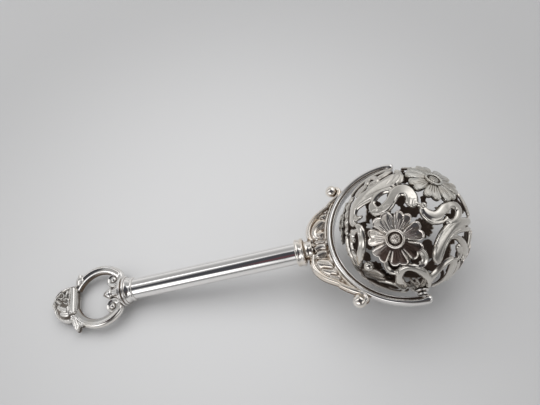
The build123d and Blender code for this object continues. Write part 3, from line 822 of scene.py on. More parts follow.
def place_strands():
    """The drawn strands, then copies of them over the hidden side wherever there is room."""
    placed = [(name, kind, height, ball_strand(stations, WIDER.get(name, 1.0)))
              for name, kind, height, stations in STROKES]
    taken = np.vstack([spread(strand[3])[0] for strand in placed])
    widest_first = sorted(STROKES, key=lambda stroke: -sum(row[2] for row in stroke[3]))
    for turn, flip in ((120, False), (240, False), (0, True), (120, True), (240, True)):
        for name, kind, height, stations in widest_first:
            strand = ball_strand(stations, 1.35, turn, flip)
            middle, _ = spread(strand)
            if (middle @ HIDDEN_SIDE).min() < -0.03:
                continue
            crowded = (middle @ taken.T).max(1) > math.cos(math.radians(4.2))
            on_flower = (middle @ FLOWER_DIRECTIONS.T).max(1) > math.cos(math.radians(17.0))
            if crowded.mean() > 0.45 or on_flower.mean() > 0.35:
                continue
            placed.append((name, "dome" if kind == "pearls" else kind, height, strand))
            taken = np.vstack([taken, middle])
    return placed


def join_strands(placed):
    """Short stems that tie any strand that would float to its nearest neighbour."""
    # each item: directions, half width in degrees
    items = []
    for *_, strand in placed:
        middle, width = spread(strand)
        items.append((middle, np.degrees(width / 2 / BALL_R)))
    for outward in FLOWER_DIRECTIONS:
        first, second = tangents(outward)
        ring = [outward * math.cos(0.30)
                - (first * math.cos(a) + second * math.sin(a)) * math.sin(0.30)
                for a in np.linspace(0, 6.28, 24)]
        items.append((np.array(ring), np.full(24, 2.6)))
    for sign in (1, -1):
        ring = np.array([direction(a, sign * 84.5) for a in range(0, 360, 15)])
        items.append((ring, np.full(24, 1.5)))

    parent = list(range(len(items)))

    def group(i):
        while parent[i] != i:
            i = parent[i]
        return i

    pairs = []
    for i, (first, first_width) in enumerate(items):
        for j in range(i + 1, len(items)):
            second, second_width = items[j]
            gaps = np.degrees(np.arccos(np.clip(first @ second.T, -1, 1)))
            gaps = gaps - first_width[:, None] - second_width[None, :]
            nearest = np.unravel_index(gaps.argmin(), gaps.shape)
            gap = gaps[nearest]
            if gap < -0.6:
                parent[group(i)] = group(j)
            elif gap < 25:
                pairs.append((gap, i, j, nearest))
    stems = []
    for _, i, j, nearest in sorted(pairs, key=lambda pair: pair[0]):
        if group(i) == group(j):
            continue
        parent[group(i)] = group(j)
        start, end = items[i][0][nearest[0]], items[j][0][nearest[1]]
        if np.linalg.norm(start - end) * BALL_R < 0.3:
            continue
        middle = unit(start + end)
        rows = [[*(p * BALL_R), w] for p, w in ((start, 1.3), (middle, 1.0), (end, 1.3))]
        stems.append(("dome", 0.55, np.array(rows), 1.0))
    return stems


def make_openwork():
    directions, triangles = ball_grid(108)
    points = directions * BALL_R
    placed = place_strands()
    lines = ("rib", "cut")
    strands = join_strands(placed)
    strands += [(kind, height, strand, TONES.get(name, 1.0))
                for name, kind, height, strand in placed if kind not in lines]
    strands += [(kind, height, strand, 1.0)
                for _, kind, height, strand in placed if kind in lines]
    field, height, bright = carve(points, strands, BALL_R)

    # a scalloped plate at each pole
    from_pole = np.pi / 2 - np.abs(np.arcsin(directions[:, 1]))
    scallop = math.radians(0.7) * np.cos(np.arctan2(directions[:, 2], directions[:, 0]) * 9)
    plate = (math.radians(8.6) + scallop - from_pole) * BALL_R
    field = np.maximum(field, plate)
    on_plate = plate > 0
    height = np.where(on_plate, np.maximum(height, domed(plate, 0.8, 0.75)), height)
    bright = np.where(on_plate, np.maximum(bright, np.clip(0.2 + plate, 0, 0.8)), bright)
    # a pad under each flower; the last flower is small
    for outward, reach in zip(FLOWER_DIRECTIONS, [15.5] * 5 + [7.5]):
        pad = (math.radians(reach) - np.arccos(np.clip(directions @ outward, -1, 1))) * BALL_R
        field = np.maximum(field, pad)
        height = np.where(pad > 0, np.minimum(height, 0.1), height)
        # painted shade: the pad under the petals is painted dark
        bright = np.where(pad > 0, 0.0, bright)

    def local(around, latitude, turn=0.0):
        """Coordinates about a place on the ball, and which points are on its side."""
        outward = direction(around, latitude)
        first, second = tangents(outward)
        c, s = math.cos(math.radians(turn)), math.sin(math.radians(turn))
        return (points @ (first * c + second * s), points @ (second * c - first * s),
                directions @ outward > 0.5)

    for around, latitude, a, b in PATCHES:
        u, v, facing = local(around, latitude)
        ragged = 0.28 * np.sin(7 * np.arctan2(v, u) + around)
        patch = np.where(facing, (1 - np.hypot(u / a, v / b)) * min(a, b) + ragged, -1.0)
        height = np.where((patch > 0) & (field < 0.3), domed(patch, 0.8, 0.5), height)
        field = np.maximum(field, patch)
    for around, latitude, a, b, turn in OPENINGS:
        u, v, facing = local(around, latitude, turn)
        ragged = (0.25 * np.sin(5 * np.arctan2(v / b, u / a) + around)
                  + 0.12 * np.sin(11 * np.arctan2(v, u)))
        opening = (1 - np.hypot(u / a, v / b)) * min(a, b) + ragged
        field = np.where(facing, np.minimum(field, -opening), field)
    pin_hole_r = 0.90
    field = np.minimum(field, np.hypot(points[:, 0], points[:, 2]) - pin_hole_r)
    height, bright = smoothed(height, triangles, 2), smoothed(bright, triangles, 1)
    outer = directions * (SHEET_R + height)[:, None]
    inner = directions * (SHEET_R - 0.14)          # clear of the loose bell
    for side, sign in SIDES:
        part = Part()
        half = np.minimum(field, directions[:, 1] * sign * BALL_R)
        part.add(*cut_sheet(outer, inner, half, triangles, bright))
        if side == "right":
            for around, latitude, radius in BEADS:
                centre = direction(around, latitude) * (SHEET_R + 0.6)
                part.add(*sphere(centre, radius, 16), 0.95)
        part.make(f"openwork_{side}", "pierced", f"ball_half_{side}", "ball", "silver_pierced")


def add_flower(part, centre, up, petal_r, flat, lower_shade):
    """Seven two-lobed ribbed petals with turned-up rims round a ring and grained boss."""
    outward = unit(centre)
    up = unit(up - outward * (up @ outward))
    right = np.cross(up, outward)

    def around(distance, bearing, radius):
        """Points at an arc distance and bearing from the flower's centre."""
        distance, bearing, radius = (np.reshape(v, (-1, 1)) for v in (distance, bearing, radius))
        tangent = np.cos(bearing) * right + np.sin(bearing) * up
        angle = distance / BALL_R
        return (outward * np.cos(angle) + tangent * np.sin(angle)) * radius

    starts = np.array([82, 34, -20, -70, -120, -170, -218])    # petal edges, degrees
    ends = np.append(starts[1:], starts[0] - 360)
    columns = 56
    within = -1 + 2 * (np.arange(columns) + 0.5) / columns
    within = np.copysign(np.abs(within) ** 0.85, within)
    bearing = (starts + ends)[:, None] / 2 + within * (ends - starts)[:, None] / 2
    bearing = np.radians(bearing).ravel()
    petal_half = np.repeat(np.abs(ends - starts) / 2, columns)
    across = np.abs(np.tile(within, len(starts)))
    lobes = 0.5 - 0.5 * np.cos(2 * math.pi * across)     # one each side of the notch
    notch = 1 - 0.05 * gauss(across, 0, 0.12)
    outer = (petal_r * (0.96 + 0.04 * lobes) * (1 - 0.34 * across**8) * notch
             * (0.94 + 0.002 * petal_half))
    inner = 2.5
    cross = (1 - across**5) * (0.80 + 0.10 * lobes)
    # painted dark reflection on the lower petals
    toned = lower_shade * np.clip((-np.sin(bearing) + 0.30) / 0.9, 0, 1)   # the lower petals
    base = SHEET_R + 0.30
    rows, relief = [], []
    for t in np.concatenate([np.linspace(0, 0.70, 20), np.linspace(0.73, 1.0, 14)]):
        distance = inner + (outer - inner) * t
        x = distance / petal_r
        cup = 0.05 + 0.55 * np.clip((x - 0.3) / 0.55, 0, 1) ** 1.2
        rim = 0.20 * gauss(t, 0.93, 0.05) + 0.16 * gauss(across, 0.80, 0.09) * (t > 0.25)
        fold = -0.07 * gauss(across, 0, 0.09) * np.clip((x - 0.3) * 2.2, 0, 1)
        ribs = (-0.11 * np.clip((-np.cos(across * math.pi * 6.0) - 0.35) / 0.65, 0, 1)
                * np.clip((0.74 - 0.12 * lobes - t) / 0.14, 0, 1)
                * np.clip((t - 0.02) / 0.1, 0, 1) * (across < 0.86))
        edge = domed(1 - t, 0.035, 1.0)
        lift = (0.25 + (cup + 0.42) * cross * 0.95 + rim + fold + ribs) * flat
        rows.append(around(distance, bearing, base + lift * (0.40 + 0.60 * edge)))
        # brightness of the petals: painted highlights on the domes and rims, painted shade at the
        # outer edges, dark lines in the fold and ribs
        shade = 0.46 + 0.36 * cross + rim * 2.0 + fold * 3.0 + ribs * 6.5 + 0.25 * (x - 0.4)
        shade = np.clip(shade, 0, 1) * (0.25 + 0.75 * edge)
        # within it the rims stay bright: painted highlights
        rubbed = np.clip(rim * 4.4 + 0.02, 0, 1) * 0.9
        relief.append(shade * (1 - toned) + toned * rubbed)
    for lift, share in ((-0.20, 0.985), (-0.42, 0.94), (-0.42, 0.30)):     # underside
        rows.append(around(outer * share, bearing, base + lift))
        # the petals' underside is painted dark, as shade under them; less on the repeats
        relief.append(np.full(len(bearing), 0.0 if flat == 1.0 else 0.6))
    part.add(rows, tube_faces(len(rows), len(bearing)), relief)

    # raised ring and grained boss: distance from the flower's centre, height
    base, rise, segments = SHEET_R + 0.45, max(flat, 0.6), 60
    profile = [(2.95, -0.3)]
    profile += [(2.50 + 0.42 * math.cos(t), 0.62 + 0.42 * math.sin(t))
                for t in np.linspace(-0.3, math.pi + 0.5, 14)]
    profile += [(1.95, 0.20), (1.85, 0.10), (1.7, 0.22), (1.5, 0.45), (1.2, 0.66), (0.8, 0.80),
                (0.4, 0.86), (0.02, 0.88)]
    turn = np.linspace(0, 2 * math.pi, segments, endpoint=False)
    rows = [around(distance, turn, base + z * rise) for distance, z in profile]
    relief = [0.9 if 2.1 < d < 2.8 else 0.05 if 1.6 < d < 2.1 else 0.45 for d, _ in profile]
    part.add(rows, tube_faces(len(profile), segments), relief)
    grains = [(0, 0)] + [(0.62, k * 60) for k in range(6)]
    grains += [(1.18, k * 30 + 15) for k in range(12)]
    for distance, angle in grains:
        radius = base + (0.86 - 0.22 * distance**2) * rise
        part.add(*sphere(around(distance, math.radians(angle), radius), 0.27, 6), 0.8)


def make_flowers():
    """The first flower of each half stands proud; its repeats are flatter and smaller."""
    looks = {
        "right": dict(up=(0.06, 1.0, 0.15), radii=(8.55, 7.7, 7.7), lower_shade=0.97,
                      material="flower"),
        # the left half's flowers take the darker copy of the flower silver: painted shade
        "left": dict(up=(-0.35, 0.9, 0.25), radii=(8.8, 7.7, 4.1), lower_shade=0.30,
                     material="flower_shaded"),
    }
    for side, look in looks.items():
        part = Part()
        for k, petal_r in enumerate(look["radii"]):
            a = math.radians(120 * k)
            turn = np.array([[math.cos(a), 0, -math.sin(a)], [0, 1, 0],
                             [math.sin(a), 0, math.cos(a)]])
            add_flower(part, turn @ direction(*FLOWERS[side]), turn @ np.array(look["up"]),
                       petal_r, flat=1.0 if k == 0 else 0.35, lower_shade=look["lower_shade"])
        part.make(f"flowers_{side}", look["material"], f"rosettes_{side}", "ball",
                  "silver_oxidised")


# ------------------------------------------------------------------ pivots
# profiles: distance from the ball's centre along Y, radius
POLE_CUP = [(18.7, 0.86), (18.7, 1.55), (20.9, 1.55), (21.0, 2.3), (21.35, 2.3), (21.55, 1.5),
            (21.6, 0.86)]
SPACER = [(22.22 + 0.52 * math.sin(t), 0.82 + 0.80 * math.cos(t))
          for t in np.linspace(-math.pi / 2, math.pi / 2, 14)]
PIN = [(18.3, 0.02), (18.3, 0.5), (18.6, 0.79), (25.0, 0.79), (25.25, 0.6), (25.32, 0.02)]


def make_pivots():
    for side, sign in SIDES:
        cup, spacer, pin = ([(sign * y, radius) for y, radius in profile]
                            for profile in (POLE_CUP, SPACER, PIN))
        make_turned(f"pole_cup_{side}_look", "polished_relief", f"pole_cup_{side}",
                    rounded(cup, 0.12), "y", 40, relief=0.6, body="ball", slot="silver_pierced")
        make_turned(f"spacer_{side}_look", "polished_relief", f"pivot_spacer_{side}",
                    spacer, "y", 40)
        make_turned(f"pin_{side}_look", "polished_relief", f"pivot_pin_{side}",
                    rounded(pin, 0.15), "y", 32)


# ------------------------------------------------------------------ fork band
BAND_INNER_R, BAND_OUTER_R = 22.95, 25.25
BAND_HALF_HEIGHT = 1.80
# upper half of the section, as distance out from the inner radius and Z: inner wall, rolled
# inner edge, shallow channel, rolled outer edge, bellied outer wall
BAND_SECTION = [
    (0, 0), (0, 0.7), (0.01, 1.30), (0.07, 1.62), (0.19, 1.76), (0.32, 1.70), (0.40, 1.42),
    (0.46, 1.12), (0.60, 1.05), (0.74, 1.14), (0.82, 1.44), (0.94, 1.62), (1.16, 1.74),
    (1.42, 1.80), (1.70, 1.80), (1.96, 1.72), (2.16, 1.54), (2.30, 1.22), (2.38, 0.7),
]


def make_fork_band():
    section = BAND_SECTION + [(2.38, 0.0)] + [(out, -z) for out, z in BAND_SECTION[:0:-1]]
    out, z = np.array(section).T
    channel = (out > 0.44) & (out < 0.76) & (np.abs(z) > 0.9) & (np.abs(z) < 1.2)
    channel_side = (out > 0.38) & (out < 0.84) & (np.abs(z) < 1.5)
    # painted dark reflection in the channel, darker beside it
    bright = np.where(channel, 0.0, np.where(channel_side, 0.35, 0.9))
    tips = [93.6, 94.3, 95.0, 95.5, 95.8, 95.9]
    angles = np.concatenate([-np.array(tips[::-1]), np.linspace(-93, 93, 190), tips])[:, None]
    into_tip = np.clip((np.abs(angles) - 93.0) / 2.9, 0, 1)
    size = np.maximum(0.04, np.sqrt(1 - into_tip**3))
    plain = np.clip((np.abs(angles) - 88.5) / 3.0, 0, 1)       # the channel runs out here
    belly = np.sqrt(np.maximum(0.0, 1 - ((out - 1.19) / 1.30) ** 2)) ** 0.6
    full = np.where(np.abs(z) > 0.9, np.copysign(BAND_HALF_HEIGHT * belly, z), z)
    height = (z * (1 - plain) + full * plain) * (0.25 + 0.75 * size)
    middle = (BAND_OUTER_R - BAND_INNER_R) / 2
    radius = BAND_INNER_R + middle + (out - middle) * (0.30 + 0.70 * size)
    turn = np.radians(180 - angles)
    points = np.stack([radius * np.cos(turn), radius * np.sin(turn), height], -1)
    shape = height.shape
    faces = tube_faces(*shape, flip=True) + cap_faces(*shape, flip=True)
    part = Part()
    part.add(points, faces, bright * (1 - plain) + 0.9 * plain)
    inner_wall = np.where((out < 0.03) & (np.roll(out, -1) < 0.03))[0]
    wall_faces = (np.arange(shape[0] - 1)[:, None] * shape[1] + inner_wall).ravel()
    # the inner wall takes the satin silver, tinted grey-blue as a painted reflection
    part.make("fork_band_look", "polished_relief", "fork_band",
              second="satin", second_faces=wall_faces)


# ------------------------------------------------------------------ acanthus bracket
# Raised lobes, u on the +Y side, l on the -Y side, m in the middle: name, height, then stations
# of (x, y, width in mm).
LOBES = [
    ("u_arm", 1.5, [
        (-18.68, 17.34, 1.21), (-19.65, 16.23, 1.23), (-21.19, 15.12, 1.24),
        (-23.21, 13.75, 1.25), (-25.3, 12.7, 1.25), (-27.29, 11.43, 1.23), (-29.11, 9.59, 1.38),
        (-30.35, 7.48, 1.41), (-30.8, 5.33, 1.28), (-30.45, 3.36, 1.19), (-29.39, 1.98, 1.03)]),
    ("u_ear", 2.0, [
        (-24.7, 8.82, 1.62), (-26.3, 8.64, 1.89), (-27.99, 7.51, 1.83), (-29.09, 5.68, 1.64),
        (-28.91, 3.74, 1.54), (-27.61, 2.86, 1.42)]),
    ("u_eye", 1.9, [(-28.31, 4.73, 1.38), (-26.98, 4.4, 1.76), (-25.56, 4.62, 1.3)]),
    ("u_l2", 1.7, [(-23.13, 11.15, 1.25), (-24.67, 10.86, 1.63), (-26.48, 10.05, 1.33)]),
    ("u_l3", 1.6, [(-22.07, 12.56, 1.16), (-23.5, 12.43, 1.55), (-25.12, 11.76, 1.06)]),
    ("u_l4", 1.4, [(-20.93, 13.95, 0.88), (-22.13, 13.67, 1.26), (-23.58, 12.95, 0.86)]),
    ("u_l5", 1.2, [(-19.39, 15.55, 0.77), (-20.47, 14.94, 0.96), (-21.68, 14.15, 0.67)]),
    ("m_top", 1.7, [
        (-30.22, 2.64, 0.9), (-28.56, 1.87, 1.18), (-26.74, 1.53, 1.0), (-25.13, 1.88, 0.64)]),
    ("m_a", 1.5, [
        (-33.54, 3.02, 1.15), (-32.07, 1.96, 1.24), (-30.29, 0.8, 1.06), (-28.74, -0.13, 0.7)]),
    ("m_b", 1.3, [(-34.18, 0.14, 1.19), (-32.37, 0.18, 1.18), (-30.33, -0.4, 0.9)]),
    ("m_c", 1.3, [(-34.13, -2.16, 1.17), (-32.35, -1.75, 1.17), (-30.67, -1.42, 0.81)]),
    ("l_e1", 2.0, [
        (-30.14, -0.81, 1.17), (-28.29, 0.04, 1.54), (-26.39, -0.31, 1.59),
        (-25.07, -1.82, 1.28)]),
    ("l_e2", 1.9, [
        (-29.88, -3.15, 1.51), (-28.05, -2.39, 1.61), (-26.27, -2.36, 1.5),
        (-25.33, -3.21, 1.03)]),
    ("l_arm", 1.5, [
        (-30.36, -2.04, 1.28), (-31.13, -4.03, 1.34), (-31.1, -6.28, 1.31),
        (-30.16, -8.52, 1.31), (-28.46, -10.56, 1.24), (-26.38, -12.13, 1.16),
        (-24.27, -13.45, 1.15), (-22.49, -15.02, 1.13), (-21.08, -16.74, 1.12)]),
    ("l_l2", 2.0, [
        (-30.06, -5.18, 1.56), (-28.27, -5.94, 1.98), (-26.19, -6.86, 1.97),
        (-24.32, -7.9, 1.19)]),
    ("l_l3", 1.7, [
        (-29.03, -7.81, 1.11), (-27.12, -8.68, 1.44), (-25.09, -9.74, 1.43),
        (-23.46, -10.62, 0.84)]),
    ("l_l4", 1.5, [
        (-26.52, -10.29, 0.75), (-24.8, -11.19, 1.17), (-23.13, -11.82, 1.17),
        (-21.66, -12.14, 0.67)]),
    ("l_l5", 1.2, [
        (-23.76, -12.54, 0.66), (-22.21, -13.64, 0.9), (-20.66, -14.74, 0.9),
        (-19.22, -15.47, 0.49)]),
]
# x, y of the backing plate's edge on the +Y side
BRACKET_EDGE = [
    (-33.6, 0.0), (-33.4, 2.6), (-31.9, 3.6), (-31.3, 5.6), (-31.0, 7.6), (-29.8, 9.9),
    (-27.9, 11.7), (-25.8, 13.1), (-23.6, 14.3), (-21.6, 15.5), (-19.9, 16.9), (-18.4, 18.4),
    (-17.2, 18.6),
]


def make_bracket():
    grid, triangles = plane_grid(-35.0, -16.0, -20.6, 20.6, 0.17)

    def band_arc(radius, reach, count):
        angles = np.radians(np.linspace(reach, -reach, count))
        return [(-radius * math.cos(a), radius * math.sin(a)) for a in angles]

    lower_edge = [(x, -y) for x, y in BRACKET_EDGE[:0:-1]]
    plate = outline_field(grid, BRACKET_EDGE + band_arc(25.15, 47, 60) + lower_edge)
    rim = [(x, y, 1.45) for x, y in band_arc(25.65, 46, 30)]
    strands = [flat_strand("dome", 1.75, rim, 1.0)]
    for name, height, stations in LOBES:
        if "arm" in name:
            raise_by, widen = 1.08, 1.80
        else:
            raise_by, widen = 0.85, 1.7 if name[0] == "m" else 2.1
        strands.append(flat_strand("dome", height * raise_by, stations, widen))
    field, height, bright = carve(grid, strands, blend=0.12, crease=0.95, groove=0.70,
                                  reach=0.28)
    height = smoothed(np.maximum(height, domed(plate, 0.5, 0.62)), triangles, 2)
    bright = smoothed(bright, triangles, 1)
    clear_of_band = np.hypot(grid[:, 0], grid[:, 1]) - 25.18
    field = np.minimum(np.maximum(field, plate), clear_of_band)
    part = Part()
    add_two_sided(part, grid, triangles, field, 0.15 + height, bright)
    part.make("acanthus_bracket", "cast", "yoke_bracket", slot="silver_toned")


# knob: centre, radius; arm curling round it: x, y, width
KNOBS = {
    "right": dict(centre=(-19.0, -20.4, 0.25), radius=2.25, arm=[
        (-24.4, -13.9, 1.7), (-22.2, -15.4, 2.2), (-20.0, -16.8, 2.4), (-18.2, -17.9, 2.3),
        (-17.0, -19.0, 2.1), (-16.9, -20.4, 1.9), (-17.9, -21.2, 1.4)]),
    "left": dict(centre=(-20.4, 20.1, 0.25), radius=2.05, arm=[
        (-23.4, 14.0, 1.5), (-21.2, 15.5, 1.8), (-19.4, 16.7, 1.9), (-18.2, 17.9, 1.9),
        (-17.75, 19.2, 1.8), (-18.3, 20.3, 1.7), (-19.2, 20.8, 1.3)]),
}


def make_knobs():
    for side, knob in KNOBS.items():
        part = Part()
        part.add(*sphere(knob["centre"], knob["radius"]), 0.95)
        stations = [(x, y, 0.3, width) for x, y, width in knob["arm"]]
        for sign in (1, -1):
            part.add(*half_rod(stations, height=1.45, depth=0.7, sign=sign))
        part.make(f"knob_{side}_look", "toned", f"yoke_scroll_{side}")


# ------------------------------------------------------------------ collars, tube and bud
# profiles: x, radius
FRONT_COLLAR = [
    (-41.0, 2.1), (-41.0, 3.2), (-36.3, 3.2), (-36.3, 3.85), (-36.28, 4.15),
    *arc(-35.78, 4.18, 0.50, 172, 40, 9), (-35.2, 4.52), (-34.9, 4.50), (-34.6, 4.56),
    (-34.3, 4.68), *arc(-33.85, 4.42, 0.46, 120, -10, 9), (-33.36, 4.05), (-33.2, 3.7),
    (-32.8, 3.25), (-32.2, 2.98), (-31.5, 3.0), (-30.9, 3.2), (-30.6, 3.1), (-30.6, 2.1),
]
TUBE = [
    (-36.0, 3.26), (-36.0, 3.62), (-36.05, 3.70), (-36.2, 3.72), (-36.6, 3.70),
    *[(x, 3.70) for x in np.linspace(-40, -92, 14)],
    (-95.0, 3.70), (-95.4, 3.72), (-95.55, 3.70), (-95.6, 3.62), (-95.6, 3.26), (-36.0, 3.26),
]
REAR_COLLAR = [
    (-90.5, 0.02), (-90.5, 3.2), (-95.0, 3.22), (-95.0, 3.72), (-95.05, 4.05), (-95.25, 4.25),
    (-95.6, 4.30), (-95.85, 4.20), (-96.2, 4.16), (-96.8, 4.25), (-97.4, 4.45), (-97.75, 4.62),
    *arc(-98.15, 4.62, 0.40, 10, 170, 10), (-98.58, 4.55), (-98.72, 4.55), (-98.84, 5.1),
    *arc(-99.12, 5.22, 0.30, 20, 160, 8), (-99.42, 4.95), (-99.62, 4.75),
    *arc(-99.92, 4.6, 0.30, 30, 150, 6), (-100.22, 4.4), (-100.22, 0.9),
]
REAR_GROOVES = [(-98.65, 0.1), (-99.55, 0.12), (-97.75, 0.04)]      # x, half width
BUD = [
    (-98.6, 0.02), (-98.6, 0.86), (-100.2, 0.86), (-100.25, 3.5), (-100.6, 3.35),
    (-101.4, 2.85), (-102.3, 2.35), (-103.1, 2.0), (-103.7, 1.8), (-103.85, 1.55),
    (-104.0, 1.85), (-104.4, 2.05), (-105.0, 2.0), (-105.7, 1.72), (-106.4, 1.30),
    (-107.0, 0.85), (-107.5, 0.42), (-107.8, 0.02),
]
BUD_NECK = -103.85


def make_handle():
    bright = [0.15 if abs(x + 33.2) < 0.2 and r < 4.1 else 0.85 for x, r in FRONT_COLLAR]
    make_turned("front_collar_look", "toned", "front_ferrule", FRONT_COLLAR, relief=bright)
    make_turned("handle_tube_look", "tube", "handle_tube", TUBE, segments=128, relief=0.9)
    profile = REAR_COLLAR[::-1]
    bright = [0.1 if any(abs(x - groove) < half for groove, half in REAR_GROOVES) else 0.85
              for x, _ in profile]
    make_turned("rear_collar_look", "polished_relief", "rear_ferrule", profile, relief=bright)
    profile = BUD[::-1]
    bright = [0.0 if abs(x - BUD_NECK) < 0.1 else 0.85 for x, _ in profile]
    make_turned("bud_look", "polished_relief", "finial_bud", profile, segments=64,
                relief=bright)


# ------------------------------------------------------------------ ring of two C-scrolls
# upper half of the wire's section: outwards from its centre line, up; its keel is nearer the
# outside
WIRE = [
    (-1.68, 0.0), (-1.66, 0.34), (-1.56, 0.66), (-1.36, 0.86), (-1.10, 0.94), (-0.80, 0.96),
    (-0.40, 1.04), (0.0, 1.22), (0.34, 1.40), (0.60, 1.47), (0.86, 1.40), (1.16, 1.18),
    (1.44, 0.82), (1.62, 0.42), (1.68, 0.0),
]
RING_X, RING_R = -108.8, 9.9
VOLUTE_CENTRE = np.array([-103.35, 4.95])
VOLUTE_END_R = 1.72
# web that closes the volute against the collar: z, radius
WEB = [(-0.55, 0.02), (-0.55, 1.5), (-0.3, 1.9), (0.3, 1.9), (0.55, 1.5), (0.55, 0.02)]


def make_ring():
    section = np.array(WIRE + [(out, -z) for out, z in WIRE[-2:0:-1]])
    out, up = section.T
    # painted dark reflection on the inner side of the wire
    bright = np.select([out < -1.5, out < -1.2, out < -0.3], [0.08, 0.30, 0.75], 0.9)
    turn = np.radians(np.linspace(157, 50, 64))
    loop = np.stack([RING_X + RING_R * np.cos(turn), RING_R * np.sin(turn)], 1)
    start = loop[-1] - VOLUTE_CENTRE
    start_r, start_turn = np.linalg.norm(start), math.atan2(start[1], start[0])
    t = np.linspace(0.03, 1, 80)
    turn = start_turn - np.radians(t * 345)
    radius = start_r + (VOLUTE_END_R - start_r) * np.minimum(1, t * 1.15) ** 0.75
    volute = VOLUTE_CENTRE + radius[:, None] * np.stack([np.cos(turn), np.sin(turn)], 1)
    full = np.ones(len(loop))
    width = np.concatenate([full, 1 - 0.56 * np.minimum(1, t * 1.4)])[:, None]
    height = np.concatenate([full, 1 - 0.30 * np.minimum(1, t * 1.3)])[:, None]
    for side, sign in SIDES:
        path = np.concatenate([loop, volute]) * (1, sign)
        along_x, along_y = unit(np.gradient(path, axis=0)).T[:, :, None]
        points = np.stack([path[:, :1] - sign * along_y * out * width,
                           path[:, 1:] + sign * along_x * out * width, up * height], -1)
        size = points.shape[:2]
        part = Part()
        part.add(points, tube_faces(*size, flip=sign < 0) + cap_faces(*size),
                 np.tile(bright, size[0]))
        x, y = VOLUTE_CENTRE * (1, sign)
        part.add(*sphere((x, y, 0.45), 1.12, 20), 0.95)
        part.add(*lathe(WEB, "z", 32, (x, y, 0)), 0.1)
        part.make(f"scroll_{side}_look", "ring", f"ring_scroll_{side}")


# ------------------------------------------------------------------ crown
# Relief of the crown: name, kind, height, then stations of (x, y, width in mm).
CROWN = [
    ("band", "cushion", 1.35, [
        (-118.51, 4.83, 1.87), (-118.41, 2.17, 1.95), (-118.32, -0.37, 1.93),
        (-118.23, -2.88, 1.9), (-117.98, -5.18, 1.78)]),
    ("band_line", "dome", 0.9, [
        (-119.86, 5.04, 0.66), (-119.85, 2.47, 0.66), (-119.84, -0.05, 0.64),
        (-119.56, -2.6, 0.63), (-119.2, -5.13, 0.62)]),
    ("leaf_t", "dome", 1.1, [
        (-117.1, 5.09, 1.56), (-117.32, 7.08, 1.74), (-116.78, 8.49, 1.5),
        (-116.59, 9.72, 0.89)]),
    ("leaf_t2", "dome", 1.0, [
        (-116.35, 5.92, 1.31), (-115.72, 7.25, 1.09), (-115.62, 8.63, 0.58)]),
    ("leaf_b", "leaf", 1.4, [
        (-118.56, -5.46, 1.21), (-117.64, -7.46, 1.87), (-116.8, -9.62, 1.66),
        (-116.32, -11.68, 0.59)]),
    ("leaf_b2", "leaf", 1.2, [
        (-116.76, -6.43, 1.16), (-115.42, -8.54, 1.54), (-114.55, -10.06, 0.85)]),
    ("rim_t", "dome", 1.2, [
        (-119.77, 5.02, 1.15), (-121.99, 4.72, 1.18), (-123.95, 4.02, 1.23),
        (-125.15, 2.74, 1.23), (-125.72, 1.17, 1.21), (-126.28, -0.48, 1.1)]),
    ("rim_b", "dome", 1.1, [
        (-126.27, -0.65, 0.93), (-125.46, -2.64, 1.08), (-124.48, -4.73, 1.07),
        (-122.85, -6.27, 1.03), (-120.6, -7.2, 1.14), (-118.7, -7.17, 1.05)]),
    ("eye_a", "dome", 1.15, [
        (-124.33, 2.65, 0.92), (-123.68, 3.45, 0.89), (-122.59, 3.22, 0.69),
        (-121.79, 2.2, 0.8), (-122.17, 1.35, 0.9), (-123.32, 1.34, 0.74),
        (-124.28, 2.13, 0.68)]),
    ("eye_ac", "dome", 0.95, [(-123.32, 2.36, 1.0), (-122.78, 2.33, 1.0)]),
    ("eye_b", "dome", 1.1, [
        (-121.8, 0.19, 0.8), (-121.42, 0.95, 0.79), (-120.52, 0.76, 0.6),
        (-119.92, -0.21, 0.73), (-120.39, -0.94, 0.77), (-121.38, -0.74, 0.61),
        (-121.87, -0.05, 0.62)]),
    ("eye_bc", "dome", 0.9, [(-121.08, 0.04, 0.85), (-120.63, -0.06, 0.85)]),
    ("arch_a", "dome", 1.2, [
        (-120.49, 3.89, 0.99), (-120.83, 2.43, 0.98), (-121.1, 1.38, 0.89)]),
    ("facet_a", "leaf", 1.3, [
        (-124.62, -1.15, 1.12), (-123.2, -2.19, 1.51), (-121.64, -3.0, 1.76),
        (-120.03, -3.33, 1.09)]),
    ("facet_b", "leaf", 1.1, [
        (-123.48, -4.11, 1.05), (-122.04, -4.56, 1.4), (-120.53, -4.78, 1.49),
        (-119.23, -4.64, 0.91)]),
    ("facet_c", "dome", 1.0, [
        (-125.16, 0.88, 0.98), (-124.01, -0.03, 1.14), (-122.89, -0.59, 0.86)]),
    ("facet_d", "dome", 0.9, [
        (-120.06, -1.76, 0.96), (-120.25, -2.71, 1.0), (-119.89, -4.01, 0.86)]),
    ("tip", "dome", 1.3, [
        (-126.65, -0.41, 0.62), (-125.9, -0.81, 1.04), (-124.98, -1.08, 1.07)]),
]
# x, y of the crown's backing plate
CROWN_OUTLINE = [
    (-117.2, 5.3), (-119.4, 5.9), (-121.6, 5.6), (-123.7, 4.8), (-125.3, 3.3), (-126.2, 1.4),
    (-127.0, -0.2), (-126.6, -1.5), (-125.9, -3.2), (-125.0, -5.0), (-123.4, -6.5),
    (-121.4, -7.4), (-119.3, -7.6), (-117.6, -6.6), (-116.9, -5.2), (-117.1, 0.0),
]


